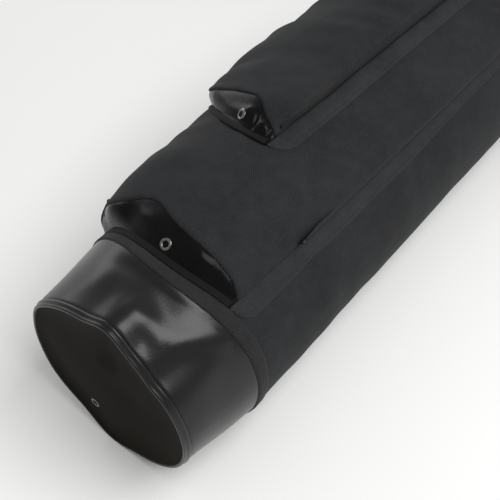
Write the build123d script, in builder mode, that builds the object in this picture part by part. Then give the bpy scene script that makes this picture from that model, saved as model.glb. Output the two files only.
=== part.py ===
# Soft telescope carry case: a padded fabric tube with faux-leather ends, a zipped end cap,
# two raised zipped pockets, a carry handle and two D-rings.
# Stations run along the case from its base end; angles run up and over the case from its near side.
from build123d import *
import os
from math import atan2, cos, sin, radians, degrees, sqrt

os.makedirs("parts", exist_ok=True)

# ---------------------------------------------------------------- driving dimensions (mm)
BASE_X = -531.0          # where station 0, the base end, sits along X
AXIS_Z = 88.0            # height of the tube's axis over the flattened underside
BASE_R = 80.0            # radius of the base disc's rim
BODY_R = 91.2            # radius of the fabric tube
RIM_R = 81.0             # radius of the zipped mouth
SKIN = 1.2               # fabric and faux-leather thickness
FOAM = 8.0               # wall padding
LINER = 0.8              # lining cloth
CUP_END = 70.0           # station where the base cup is sewn to the tube
BAND_START = 64.0        # binding tape over that seam
BAND_END = 75.0
TAPER_START = 940.0      # the tube narrows from here to the mouth
MOUTH = 980.0            # end of the fabric tube
TAPE_END = 988.0         # end of the zip tape on the tube side
CHAIN = 2.4              # width of one row of zip teeth round the mouth
SPLIT = 990.4            # end of the tube side, start of the cap
GAP = 0.1                # gap between tube and cap
CAP_TAPE_END = 1001.0
CAP_END = 1062.0         # station of the cap's outer edge
CAP_R = 79.0
BOARD = 3.0              # plastic stiffener
PAD = 10.0               # end padding
CORD_R = 2.0             # piping cord
CORD_SET = 0.5           # how far the piping sinks under the end's outer edge
DISC_OUT = 1.0           # how far the end leather stands past the end's edge
END_CLEAR = 0.2
WIRE = 2.0               # radius of the metal ring wire
WIRE_CLEAR = 0.06        # running clearance of webbing loops on that wire

# pockets: near edge, far edge (degrees), flange widths (degrees), stations, radii
BIG_NEAR = 49.5
BIG_FAR = 150.0
BIG_FLANGE = 10.0
BIG_START = 75.2
BIG_END = 800.0
BIG_TOP_R = 113.0
BIG_LEAN = 19.0          # how far the end gussets lean along the case
BIG_ZIP_START = 155.0
SMALL_NEAR = 88.5
SMALL_FAR = 142.5
SMALL_FLANGE = 7.4
SMALL_FAR_FLANGE = 6.2
SMALL_START = 196.0
SMALL_END = 620.0
SMALL_TOP_R = 134.5
SMALL_LEAN = 20.0
SMALL_ZIP_START = 240.0
WALL = 1.0               # pocket wall and zip tape
ZIP_TOOTH = 2.2          # one row of pocket zip teeth
ZIP_HIGH = 1.6
STOP = 3.0               # length of a zip's end stop
HOOD = 2.0               # overhang of the pocket face over its end gusset
ZIP_SHARE = 0.46         # height of a pocket's zip up its side wall

EYELET_R = 5.6
EYELET_BORE = 2.4
BARREL_R = 3.0
BASE_EYELET_Y = 24.4
BASE_EYELET_Z = -47.9
BIG_EYELET_ANGLE = 88.0
SMALL_EYELET_ANGLE = 108.5

RING_Y = 97.0            # pivot line of the handle rings and D-rings
RING_RISE = 18.0
HANDLE_HALF = 80.0
D_RING_HALF = 330.0
TAB_W = 26.0

AXIS = Axis((BASE_X, 0, AXIS_Z), (1, 0, 0))
UPWARD = Axis((BASE_X, 0, AXIS_Z), (-1, 0, 0))


def radial(angle):
    """Plane through the tube's axis: its x is the station, its y the radius."""
    a = radians(angle)
    return Plane(origin=(BASE_X, 0, AXIS_Z), x_dir=(1, 0, 0), z_dir=(0, -sin(a), -cos(a)))


def across(station, radius, angle, lean=0.0):
    """Plane facing outwards at one place on the case, tipped back towards the base by lean degrees."""
    a = radians(angle)
    t = radians(lean)
    spot = (BASE_X + station, -radius * cos(a), AXIS_Z + radius * sin(a))
    facing = (-sin(t), -cos(t) * cos(a), cos(t) * sin(a))
    return Plane(origin=spot, x_dir=(0, sin(a), cos(a)), z_dir=facing)


def skin_r(station):
    """Outer radius of the case's skin at a station."""
    if station < CUP_END:
        return BASE_R + (BODY_R - BASE_R) * station / CUP_END
    if station < TAPER_START:
        return BODY_R
    return BODY_R + (RIM_R - BODY_R) * (station - TAPER_START) / (MOUTH - TAPER_START)


def band(stations, outer, inner):
    """Closed outline between two offsets under the skin, along a list of stations."""
    top = [(s, skin_r(s) - outer) for s in stations]
    bottom = [(s, skin_r(s) - inner) for s in reversed(stations)]
    return top + bottom


def block(x0, x1, r0, r1):
    return [(x0, r0), (x1, r0), (x1, r1), (x0, r1)]


def above(height):
    """Everything higher than a level, for trimming the underside flat."""
    with BuildPart() as room:
        with Locations((0, 0, height)):
            Box(2400, 500, 400, align=(Align.CENTER, Align.CENTER, Align.MIN))
    return room.part


def ring(outline, start=0.0, sweep=360.0):
    """Turn an outline of (station, radius) points about the tube's axis."""
    with BuildPart() as turned:
        with BuildSketch(radial(start)):
            with BuildLine():
                Polyline(*outline, close=True)
            make_face()
        revolve(axis=UPWARD, revolution_arc=sweep)
    return turned.part


FOAM_START = 3.6
LINING_START = FOAM_START + PAD
BODY_STATIONS = [CUP_END, TAPER_START, MOUTH]

# ---------------------------------------------------------------- tube
tube_skin = ring(band(BODY_STATIONS, 0, SKIN))
with BuildPart() as fabric_shell:
    add(tube_skin)
    add(above(0), mode=Mode.INTERSECT)

seam_core = ring([(CUP_END, 0), (TAPER_START, 0), (TAPER_START, BODY_R - SKIN), (CUP_END, BODY_R - SKIN)])
with BuildPart() as back_panel:
    add(seam_core)
    add(above(0), mode=Mode.INTERSECT)
    add(above(SKIN), mode=Mode.SUBTRACT)

cup_outer = ring([(CORD_R, 0), (CUP_END, 0), (CUP_END, BODY_R), (CORD_R, skin_r(CORD_R))])
cup_inner = ring([(0, 0), (CUP_END, 0), (CUP_END, BODY_R - SKIN), (0, BASE_R - SKIN)])
with BuildPart() as cup_room:
    add(cup_inner)
    add(above(SKIN), mode=Mode.INTERSECT)
with BuildPart() as base_cup:
    add(cup_outer)
    add(above(0), mode=Mode.INTERSECT)
    add(cup_room.part, mode=Mode.SUBTRACT)

foam_outline = [(FOAM_START, 0)]
foam_outline += [(s, skin_r(s) - SKIN) for s in [FOAM_START, CUP_END, TAPER_START, MOUTH]]
foam_outline += [(TAPE_END, RIM_R - SKIN), (TAPE_END, 0)]
foam_stations = [FOAM_START, CUP_END, TAPER_START, MOUTH]
foam_hollow = [(s, skin_r(s) - SKIN - FOAM) for s in foam_stations]
foam_hollow = [(0, 0), (0, foam_hollow[0][1])] + foam_hollow
foam_hollow += [(TAPE_END, RIM_R - SKIN - FOAM), (TAPE_END, 0)]
foam_solid = ring(foam_outline)
foam_core = ring(foam_hollow)
with BuildPart() as wall_foam:
    add(foam_solid)
    add(above(SKIN), mode=Mode.INTERSECT)
    add(foam_core, mode=Mode.SUBTRACT)

liner_stations = [LINING_START + LINER, CUP_END, TAPER_START, MOUTH]
liner_out = [(s, skin_r(s) - SKIN - FOAM) for s in liner_stations] + [(TAPE_END, RIM_R - SKIN - FOAM)]
liner_in = [(s, r - LINER) for s, r in reversed(liner_out)]
liner_tube = ring(liner_out + liner_in)
liner_end_r = skin_r(LINING_START) - SKIN - FOAM

band_low = [(s, skin_r(s)) for s in (BAND_START, CUP_END, BAND_END)]
band_high = [(s, r + SKIN) for s, r in reversed(band_low)]
band_ring = ring(band_low + band_high)
with BuildPart() as cup_binding:
    add(band_ring)
    add(above(0), mode=Mode.INTERSECT)

# ---------------------------------------------------------------- base end
base_drain = Plane(origin=(BASE_X, BASE_EYELET_Y, AXIS_Z + BASE_EYELET_Z), x_dir=(0, -1, 0), z_dir=(-1, 0, 0))
inner_r = skin_r(FOAM_START) - SKIN - FOAM - END_CLEAR


def end_disc(station, radius, thick):
    """Round disc across the case, starting at a station."""
    with BuildPart() as disc:
        with BuildSketch(Plane(origin=(BASE_X + station, 0, AXIS_Z), x_dir=(0, 1, 0), z_dir=(1, 0, 0))):
            Circle(radius)
        extrude(amount=thick)
    return disc.part


def drain_hole(radius):
    """Round cutter along the base's drain."""
    with BuildPart() as hole:
        with BuildSketch(base_drain):
            Circle(radius)
        extrude(amount=FOAM_START + PAD + BOARD * 4, both=True)
    return hole.part


drain_barrel = drain_hole(BARREL_R)
drain_wide = drain_hole(EYELET_R + END_CLEAR)
base_skin = end_disc(-DISC_OUT, BASE_R - CORD_R - CORD_SET - END_CLEAR, SKIN)
with BuildPart() as base_disc:
    add(base_skin)
    add(drain_barrel, mode=Mode.SUBTRACT)

with BuildPart() as base_piping:
    with BuildSketch(radial(0)):
        with Locations((0, BASE_R - CORD_SET)):
            Circle(CORD_R)
    revolve(axis=UPWARD, revolution_arc=360)

base_board = end_disc(SKIN - DISC_OUT, BASE_R - CORD_R - CORD_SET - END_CLEAR, BOARD)
with BuildPart() as base_stiffener:
    add(base_board)
    add(drain_barrel, mode=Mode.SUBTRACT)

base_pad = end_disc(FOAM_START, inner_r, PAD)
with BuildPart() as base_foam:
    add(base_pad)
    add(drain_wide, mode=Mode.SUBTRACT)

base_cloth = end_disc(LINING_START, liner_end_r, LINER)
with BuildPart() as lining:
    add(liner_tube)
    add(base_cloth)
    add(drain_wide, mode=Mode.SUBTRACT)

FLANGE_T = 0.9
with BuildPart() as base_eyelet:
    with BuildSketch(base_drain.offset(DISC_OUT)):
        Circle(EYELET_R)
    extrude(amount=FLANGE_T)
    with BuildSketch(base_drain.offset(DISC_OUT)):
        Circle(BARREL_R)
    extrude(amount=-(SKIN + BOARD))
    with BuildSketch(base_drain.offset(5)):
        Circle(EYELET_BORE)
    extrude(amount=-20, mode=Mode.SUBTRACT)

with BuildPart() as base_washer:
    with BuildSketch(base_drain.offset(DISC_OUT - SKIN - BOARD)):
        Circle(EYELET_R)
        Circle(EYELET_BORE, mode=Mode.SUBTRACT)
    extrude(amount=-FLANGE_T)

# ---------------------------------------------------------------- mouth of the tube
HINGE_HALF = 24.0        # half the arc where the cap is sewn on
CHAIN_RISE = 1.6
chain_sweep = 360.0 - 2 * HINGE_HALF
chain_start = 180.0 + HINGE_HALF
FLAP_MARGIN = 1.0        # arc between the end of the zip and the sewn cloth
flap_start = 180.0 - HINGE_HALF + FLAP_MARGIN
flap_sweep = 2 * (HINGE_HALF - FLAP_MARGIN)
PARK = 14.0              # arc at each end of the zip where the slider stands clear of the cap's teeth
with BuildPart() as mouth_tape:
    add(ring(block(MOUTH, TAPE_END, RIM_R - SKIN, RIM_R)))
with BuildPart() as mouth_teeth:
    add(ring(block(TAPE_END, SPLIT, RIM_R - SKIN, RIM_R + CHAIN_RISE), chain_start, chain_sweep))
with BuildPart() as hinge_flap:
    add(ring(block(TAPE_END, SPLIT, RIM_R - SKIN, RIM_R), flap_start, flap_sweep))

# ---------------------------------------------------------------- end cap
cap_start = SPLIT + GAP
cap_teeth_end = cap_start + CHAIN
cap_slope = (CAP_R - RIM_R) / (CAP_END - CAP_TAPE_END)


def cap_r(station):
    return RIM_R + cap_slope * max(0.0, station - CAP_TAPE_END)


cap_foam_end = CAP_END - FOAM_START
cap_lining_end = cap_foam_end - PAD
with BuildPart() as cap_teeth:
    add(ring(block(cap_start, cap_teeth_end, RIM_R - SKIN, RIM_R + CHAIN_RISE),
             chain_start + PARK, chain_sweep - 2 * PARK))
with BuildPart() as cap_flap:
    add(ring(block(cap_start, cap_teeth_end, RIM_R - SKIN, RIM_R), flap_start, flap_sweep))
with BuildPart() as cap_tape:
    add(ring(block(cap_teeth_end, CAP_TAPE_END, RIM_R - SKIN, RIM_R)))
cap_leather = [(CAP_TAPE_END, RIM_R), (CAP_END - CORD_R, cap_r(CAP_END - CORD_R))]
cap_leather += [(s, r - SKIN) for s, r in reversed(cap_leather)]
with BuildPart() as cap_shell:
    add(ring(cap_leather))
cap_wall = [(cap_teeth_end, RIM_R - SKIN), (CAP_TAPE_END, RIM_R - SKIN)]
cap_wall += [(cap_foam_end, cap_r(cap_foam_end) - SKIN)]
cap_wall += [(s, r - FOAM) for s, r in reversed(cap_wall)]
with BuildPart() as cap_foam:
    add(ring(cap_wall))
cap_cloth = [(cap_teeth_end, RIM_R - SKIN - FOAM), (CAP_TAPE_END, RIM_R - SKIN - FOAM)]
cap_cloth += [(cap_lining_end - LINER, cap_r(cap_lining_end) - SKIN - FOAM)]
cap_cloth += [(s, r - LINER) for s, r in reversed(cap_cloth)]
cap_liner_tube = ring(cap_cloth)
cap_liner_end_r = cap_r(cap_lining_end) - SKIN - FOAM
cap_inner_r = cap_r(CAP_END) - SKIN - FOAM - END_CLEAR
cap_disc_r = CAP_R - CORD_R - CORD_SET - END_CLEAR
with BuildPart() as cap_disc:
    add(end_disc(CAP_END + DISC_OUT - SKIN, cap_disc_r, SKIN))
with BuildPart() as cap_stiffener:
    add(end_disc(CAP_END + DISC_OUT - SKIN - BOARD, cap_disc_r, BOARD))
with BuildPart() as cap_pad:
    add(end_disc(cap_foam_end - PAD, cap_inner_r, PAD))
with BuildPart() as cap_lining:
    add(cap_liner_tube)
    add(end_disc(cap_lining_end - LINER, cap_liner_end_r, LINER))
with BuildPart() as cap_piping:
    with BuildSketch(radial(0)):
        with Locations((CAP_END, CAP_R - CORD_SET)):
            Circle(CORD_R)
    revolve(axis=UPWARD, revolution_arc=360)

# ---------------------------------------------------------------- pockets
EDGE = 0.1               # seam gap under the pocket face
MARGIN_TOP = 14.0        # width of the sewn margin past a pocket's top end
MARGIN_IN = 4.0          # the margin starts this far along from a pocket's base end


def flange(inner_r0, near, far, near_w, far_w, start, end):
    """Flat sewn-down margin round a pocket's two long sides and its top end."""
    outline = block(start + MARGIN_IN, end + MARGIN_TOP, inner_r0, inner_r0 + SKIN)
    whole = ring(outline, near - near_w, far - near + near_w + far_w)
    middle = ring(block(start - 5, end, inner_r0 - 1, inner_r0 + 3), near, far - near)
    with BuildPart() as margin:
        add(whole)
        add(middle, mode=Mode.SUBTRACT)
    return margin.part


def gusset(start, foot_r, top_r, lean, near, far):
    """Leaning end panel of a pocket."""
    side = degrees((WALL + EDGE) / foot_r)
    thick = SKIN * sqrt(1 + (lean / (top_r - foot_r)) ** 2) * (1 if lean > 0 else -1)
    outline = [(start, foot_r), (start + thick, foot_r), (start + lean + thick, top_r), (start + lean, top_r)]
    return ring(outline, near + side, far - near - 2 * side)


def wall(angle, outline, inward):
    """Side wall panel of a pocket, standing on a radial plane."""
    with BuildPart() as panel:
        with BuildSketch(radial(angle)):
            with BuildLine():
                Polyline(*outline, close=True)
            make_face()
        extrude(amount=inward)
    return panel.part


def wall_outline(start, end, foot_r, top_r, lean):
    return [(start, foot_r), (start + lean, top_r), (end - lean, top_r), (end, foot_r)]


def eyelet_pair(place, hole_plane_depth):
    """Drain eyelet with its barrel, and the washer it is set on."""
    with BuildPart() as eyelet:
        with BuildSketch(place):
            Circle(EYELET_R)
        extrude(amount=FLANGE_T)
        with BuildSketch(place):
            Circle(BARREL_R)
        extrude(amount=-hole_plane_depth)
        with BuildSketch(place.offset(4)):
            Circle(EYELET_BORE)
        extrude(amount=-12, mode=Mode.SUBTRACT)
    with BuildPart() as washer:
        with BuildSketch(place.offset(-hole_plane_depth)):
            Circle(EYELET_R)
            Circle(EYELET_BORE, mode=Mode.SUBTRACT)
        extrude(amount=-FLANGE_T)
    return eyelet.part, washer.part


def eyelet_cutter(place):
    with BuildPart() as hole:
        with BuildSketch(place.offset(-4)):
            Circle(BARREL_R)
        extrude(amount=8)
    return hole.part


BIG_FOOT_R = BODY_R + END_CLEAR
big_rise = BIG_TOP_R - BIG_FOOT_R
with BuildPart() as big_flange:
    add(flange(BODY_R, BIG_NEAR, BIG_FAR, BIG_FLANGE, BIG_FLANGE, BIG_START, BIG_END))
with BuildPart() as big_face:
    add(ring(block(BIG_START + BIG_LEAN - HOOD, BIG_END - BIG_LEAN + HOOD,
                   BIG_TOP_R + EDGE, BIG_TOP_R + EDGE + SKIN),
             BIG_NEAR, BIG_FAR - BIG_NEAR))
big_lower = BIG_TOP_R - EDGE
zip_r = BIG_FOOT_R + big_rise * ZIP_SHARE
with BuildPart() as big_wall_far:
    add(wall(BIG_FAR, wall_outline(BIG_START, BIG_END, BIG_FOOT_R, big_lower, BIG_LEAN), WALL))
with BuildPart() as big_wall_near:
    add(wall(BIG_NEAR, [(BIG_START, BIG_FOOT_R), (BIG_START + BIG_LEAN, big_lower),
                        (BIG_ZIP_START, big_lower), (BIG_ZIP_START, BIG_FOOT_R)], -WALL))


def zip_tapes(angle, start, end, foot_r, top_r, lean, middle):
    """The two woven tapes of a pocket zip, filling its side wall."""
    turn = end - lean * (middle - foot_r) / (top_r - foot_r)
    lower = wall(angle, [(start, foot_r), (end, foot_r), (turn, middle), (start, middle)], -WALL)
    upper = wall(angle, [(start, middle), (turn, middle), (end - lean, top_r), (start, top_r)], -WALL)
    return lower, upper


def zip_teeth(angle, start, end, middle):
    """The two rows of teeth of a pocket zip, on the outside of its tapes."""
    lower = wall(angle, block(start, end, middle - ZIP_TOOTH, middle), ZIP_HIGH)
    upper = wall(angle, block(start, end, middle, middle + ZIP_TOOTH), ZIP_HIGH)
    return lower, upper


def zip_stops(angle, start, end, middle):
    """A stop at each end of a pocket zip."""
    low = wall(angle, block(start - STOP, start, middle - ZIP_TOOTH, middle + ZIP_TOOTH), ZIP_HIGH)
    high = wall(angle, block(end, end + STOP, middle - ZIP_TOOTH, middle + ZIP_TOOTH), ZIP_HIGH)
    return low, high


ZIP_MARGIN = 28.0        # zip end to the pocket's top edge
big_zip_end = BIG_END - ZIP_MARGIN
big_tapes = zip_tapes(BIG_NEAR, BIG_ZIP_START, BIG_END, BIG_FOOT_R, big_lower, BIG_LEAN, zip_r)
with BuildPart() as big_zip_tapes:
    add(big_tapes[0])
    add(big_tapes[1])
big_rows = zip_teeth(BIG_NEAR, BIG_ZIP_START + STOP, big_zip_end, zip_r)
with BuildPart() as big_zip_teeth:
    add(big_rows[0])
    add(big_rows[1])
big_ends = zip_stops(BIG_NEAR, BIG_ZIP_START + STOP, big_zip_end, zip_r)

big_lean_deg = degrees(atan2(big_rise, BIG_LEAN))
big_hole = across(BIG_START + BIG_LEAN * 0.5, BIG_FOOT_R + big_rise * 0.5, BIG_EYELET_ANGLE, big_lean_deg)
big_cutter = eyelet_cutter(big_hole)
big_panel = gusset(BIG_START, BIG_FOOT_R, big_lower, BIG_LEAN, BIG_NEAR, BIG_FAR)
with BuildPart() as big_base_gusset:
    add(big_panel)
    add(big_cutter, mode=Mode.SUBTRACT)
with BuildPart() as big_top_gusset:
    add(gusset(BIG_END, BIG_FOOT_R, big_lower, -BIG_LEAN, BIG_NEAR, BIG_FAR))
SEAT = 0.35              # the eyelet stands this far off the curved panel
big_pair = eyelet_pair(big_hole.offset(SEAT), SKIN + 2 * SEAT)

SMALL_BACK_R = BIG_TOP_R + EDGE + SKIN
SMALL_FOOT_R = SMALL_BACK_R + END_CLEAR
small_rise = SMALL_TOP_R - SMALL_FOOT_R
small_lower = SMALL_TOP_R - EDGE
small_zip_r = SMALL_FOOT_R + small_rise * ZIP_SHARE
with BuildPart() as small_flange:
    add(flange(SMALL_BACK_R, SMALL_NEAR, SMALL_FAR, SMALL_FLANGE, SMALL_FAR_FLANGE, SMALL_START, SMALL_END))
with BuildPart() as small_face:
    add(ring(block(SMALL_START + SMALL_LEAN - HOOD, SMALL_END - SMALL_LEAN + HOOD,
                   SMALL_TOP_R + EDGE, SMALL_TOP_R + EDGE + SKIN), SMALL_NEAR, SMALL_FAR - SMALL_NEAR))
with BuildPart() as small_wall_far:
    add(wall(SMALL_FAR, wall_outline(SMALL_START, SMALL_END, SMALL_FOOT_R, small_lower, SMALL_LEAN), WALL))
with BuildPart() as small_wall_near:
    add(wall(SMALL_NEAR, [(SMALL_START, SMALL_FOOT_R), (SMALL_START + SMALL_LEAN, small_lower),
                          (SMALL_ZIP_START, small_lower), (SMALL_ZIP_START, SMALL_FOOT_R)], -WALL))
small_zip_end = SMALL_END - ZIP_MARGIN
small_tapes = zip_tapes(SMALL_NEAR, SMALL_ZIP_START, SMALL_END, SMALL_FOOT_R, small_lower, SMALL_LEAN,
                        small_zip_r)
with BuildPart() as small_zip_tapes:
    add(small_tapes[0])
    add(small_tapes[1])
small_rows = zip_teeth(SMALL_NEAR, SMALL_ZIP_START + STOP, small_zip_end, small_zip_r)
with BuildPart() as small_zip_teeth:
    add(small_rows[0])
    add(small_rows[1])
small_ends = zip_stops(SMALL_NEAR, SMALL_ZIP_START + STOP, small_zip_end, small_zip_r)
with BuildPart() as zip_end_stops:
    for stop in big_ends + small_ends:
        add(stop)
small_lean_deg = degrees(atan2(small_rise, SMALL_LEAN))
small_hole = across(SMALL_START + SMALL_LEAN * 0.5, SMALL_FOOT_R + small_rise * 0.5, SMALL_EYELET_ANGLE,
                    small_lean_deg)
small_cutter = eyelet_cutter(small_hole)
small_panel = gusset(SMALL_START, SMALL_FOOT_R, small_lower, SMALL_LEAN, SMALL_NEAR, SMALL_FAR)
with BuildPart() as small_base_gusset:
    add(small_panel)
    add(small_cutter, mode=Mode.SUBTRACT)
with BuildPart() as small_top_gusset:
    add(gusset(SMALL_END, SMALL_FOOT_R, small_lower, -SMALL_LEAN, SMALL_NEAR, SMALL_FAR))
small_pair = eyelet_pair(small_hole.offset(SEAT), SKIN + 2 * SEAT)
with BuildPart() as pocket_eyelets:
    add(big_pair[0])
    add(small_pair[0])
with BuildPart() as pocket_washers:
    add(big_pair[1])
    add(small_pair[1])

# ---------------------------------------------------------------- zip sliders and pulls
SLIDER_L = 14.0
SLIDER_T = 1.6
SLIDER_CLEAR = 0.4
SIDE_W = 1.2
BAIL_POST = 1.6
BAIL_R = 0.9
BAIL_HIGH = 2.6
BAIL_SPAN = 6.0
PULL_W = 4.6
PULL_L = 26.0
PULL_T = 1.6
PULL_EYE_R = 1.5
half_chain = ZIP_TOOTH + SLIDER_CLEAR


def slider(place, half_width):
    """Zip slider: a plate with two side flanges and a bail.

    Its place is the middle of the teeth's inner side, with x along the zip and z outwards."""
    deck = ZIP_HIGH + SLIDER_CLEAR
    with BuildPart() as body:
        with BuildSketch(place.offset(deck)):
            Rectangle(SLIDER_L, 2 * (half_width + SIDE_W))
        extrude(amount=SLIDER_T)
        with BuildSketch(place.offset(SLIDER_CLEAR)):
            with Locations((0, half_width + SIDE_W / 2), (0, -half_width - SIDE_W / 2)):
                Rectangle(SLIDER_L, SIDE_W)
        extrude(amount=deck)
        with BuildSketch(place.offset(deck + SLIDER_T)):
            with Locations((0, BAIL_SPAN / 2), (0, -BAIL_SPAN / 2)):
                Rectangle(2 * BAIL_R, BAIL_POST / 2)
        extrude(amount=BAIL_HIGH)
    rod_at = place * Location((0, 0, deck + SLIDER_T + BAIL_HIGH - BAIL_R), (90, 0, 0))
    with BuildPart() as whole:
        add(body.part)
        with Locations(rod_at):
            Cylinder(BAIL_R, BAIL_SPAN)
    return whole.part


def pull(place):
    """Pull tab hung on a slider's bail, lying back along the closed zip."""
    level = ZIP_HIGH + SLIDER_CLEAR + SLIDER_T + BAIL_HIGH - BAIL_R
    with BuildPart() as tab:
        with BuildSketch(place.offset(level - PULL_T / 2)):
            with Locations((-PULL_L / 2 - 1, 0)):
                Rectangle(PULL_L, PULL_W)
        extrude(amount=PULL_T)
    eye_at = place * Location((0, 0, level), (90, 0, 0))
    with BuildPart() as whole:
        add(tab.part)
        with Locations(eye_at):
            Cylinder(PULL_EYE_R, PULL_W)
            Cylinder(BAIL_R + WIRE_CLEAR, PULL_W + 4, mode=Mode.SUBTRACT)
    return whole.part


SLIDER_SET = 9.0         # slider's middle to the zip's end stop


def on_wall(angle, station, radius):
    """Place on the outside of a pocket's near wall."""
    a = radians(angle)
    spot = (BASE_X + station, -radius * cos(a), AXIS_Z + radius * sin(a))
    return Plane(origin=spot, x_dir=(1, 0, 0), z_dir=(0, -sin(a), -cos(a)))


big_slot = on_wall(BIG_NEAR, big_zip_end - SLIDER_SET, zip_r)
with BuildPart() as big_slider:
    add(slider(big_slot, half_chain))
bail_level = ZIP_HIGH + SLIDER_CLEAR + SLIDER_T + BAIL_HIGH - BAIL_R
big_bail = Axis(big_slot.offset(bail_level).origin, big_slot.y_dir)
hanging_pull = pull(big_slot).rotate(big_bail, 90)
with BuildPart() as big_pull:
    add(hanging_pull)
small_slot = on_wall(SMALL_NEAR, small_zip_end - SLIDER_SET, small_zip_r)
with BuildPart() as small_slider:
    add(slider(small_slot, half_chain))
with BuildPart() as small_pull:
    add(pull(small_slot))

CAP_SLIDER_ARC = 6.5     # slider's middle past the start of the tube's teeth
park = radians(180.0 - HINGE_HALF - CAP_SLIDER_ARC)
CURVE_CLEAR = 0.5        # extra room so the flat slider clears the round zip
cap_spot = (BASE_X + SPLIT, -(RIM_R + CURVE_CLEAR) * cos(park), AXIS_Z + (RIM_R + CURVE_CLEAR) * sin(park))
cap_slot = Plane(origin=cap_spot, x_dir=(0, -sin(park), -cos(park)), z_dir=(0, -cos(park), sin(park)))
with BuildPart() as cap_slider:
    add(slider(cap_slot, CHAIN + SLIDER_CLEAR))
with BuildPart() as cap_pull:
    add(pull(cap_slot))

# ---------------------------------------------------------------- rings, tabs and carry handle
PIVOT_Z = AXIS_Z + RING_RISE
LOOP_R = 3.6
TAB_T = 1.4              # sewn part of a ring's webbing tab
TAB_FROM = 161.0         # arc of that sewn part
TAB_ARC = 14.0
WEB_ARC = 1.8            # arc of the web between the sewn part and the loop
D_OVER = 4.0             # how far a ring stands past its tab on each side
RING_OVER = 5.0
pivot_angle = 180.0 - degrees(atan2(RING_RISE, RING_Y))
pivot_r = sqrt(RING_RISE ** 2 + RING_Y ** 2)


def rod(x, length, radius, y=RING_Y, z=PIVOT_Z):
    """Round bar along the case."""
    with BuildPart() as bar:
        with Locations(Location((x, y, z), (0, 90, 0))):
            Cylinder(radius, length)
    return bar.part


def ring_tab(x):
    """Webbing tab sewn to the case's far side and looped round a ring's bar."""
    station = x - BASE_X
    low = station - TAB_W / 2
    high = station + TAB_W / 2
    plate = ring(block(low, high, BODY_R, BODY_R + TAB_T), TAB_FROM, TAB_ARC)
    web_outline = block(low, high, BODY_R + TAB_T / 2, pivot_r - LOOP_R + 1.0)
    web = ring(web_outline, pivot_angle - WEB_ARC / 2, WEB_ARC)
    with BuildPart() as tab:
        add(plate)
        add(web)
        add(rod(x, TAB_W, LOOP_R))
        add(rod(x, TAB_W + 4, WIRE + WIRE_CLEAR), mode=Mode.SUBTRACT)
    return tab.part


def d_ring(x):
    """Metal D: a straight bar and a half round below it."""
    half = TAB_W / 2 + D_OVER
    with BuildPart() as dee:
        with BuildSketch(Plane(origin=(x, RING_Y, PIVOT_Z), x_dir=(1, 0, 0), z_dir=(0, 0, -1))):
            with Locations((half, 0)):
                Circle(WIRE)
        revolve(axis=Axis((x, RING_Y, PIVOT_Z), (0, 1, 0)), revolution_arc=180)
    with BuildPart() as whole:
        add(dee.part)
        add(rod(x, 2 * half, WIRE))
        with Locations((x - half, RING_Y, PIVOT_Z), (x + half, RING_Y, PIVOT_Z)):
            Sphere(WIRE)
    return whole.part


RING_DROP = 14.0
RING_HALF = TAB_W / 2 + RING_OVER


def strap_ring(x):
    """Rectangular metal ring between a tab and the handle."""
    left = x - RING_HALF
    right = x + RING_HALF
    low = PIVOT_Z - RING_DROP
    with BuildPart() as loop:
        add(rod(x, 2 * RING_HALF, WIRE))
        add(rod(x, 2 * RING_HALF, WIRE, z=low))
        with Locations((left, RING_Y, (PIVOT_Z + low) / 2), (right, RING_Y, (PIVOT_Z + low) / 2)):
            Cylinder(WIRE, RING_DROP)
        with Locations((left, RING_Y, PIVOT_Z), (right, RING_Y, PIVOT_Z),
                       (left, RING_Y, low), (right, RING_Y, low)):
            Sphere(WIRE)
    return loop.part


def strap_end(x):
    """Webbing end of the handle, looped round a ring's lower bar."""
    low = PIVOT_Z - RING_DROP
    with BuildPart() as end:
        add(rod(x, TAB_W, LOOP_R, z=low))
        with Locations((x, RING_Y, low - WIRE)):
            Box(TAB_W, STRAP_T, low - WIRE - GRIP_TOP, align=(Align.CENTER, Align.CENTER, Align.MAX))
        add(rod(x, TAB_W + 4, WIRE + WIRE_CLEAR, z=low), mode=Mode.SUBTRACT)
    return end.part


STRAP_T = 2.4
GRIP_TOP = AXIS_Z - 14.0
GRIP_LOW = 28.0
GRIP_W = 24.0
GRIP_T = 7.2
GRIP_ROUND = 34.0
GRIP_INSIDE = 12.0


def grip_outline(shrink):
    """Outline of the grip in its own plane, a wide U."""
    half = HANDLE_HALF + TAB_W / 2
    tall = GRIP_TOP - GRIP_LOW
    with BuildSketch(Plane(origin=(0, RING_Y, GRIP_LOW), x_dir=(1, 0, 0), z_dir=(0, -1, 0))) as shape:
        with Locations((0, tall / 2)):
            Rectangle(2 * half, tall)
        fillet(shape.vertices().sort_by(Axis.Y)[:2], radius=GRIP_ROUND)
        hollow = 2 * (half - TAB_W)
        with Locations((0, GRIP_W + (tall - GRIP_W) / 2)):
            Rectangle(hollow, tall - GRIP_W, mode=Mode.SUBTRACT)
    with BuildSketch(Plane(origin=(0, RING_Y, GRIP_LOW), x_dir=(1, 0, 0), z_dir=(0, -1, 0))) as inset:
        add(shape.sketch_local)
        if shrink > 0:
            offset(amount=-shrink, mode=Mode.REPLACE)
    return inset.sketch


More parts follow.
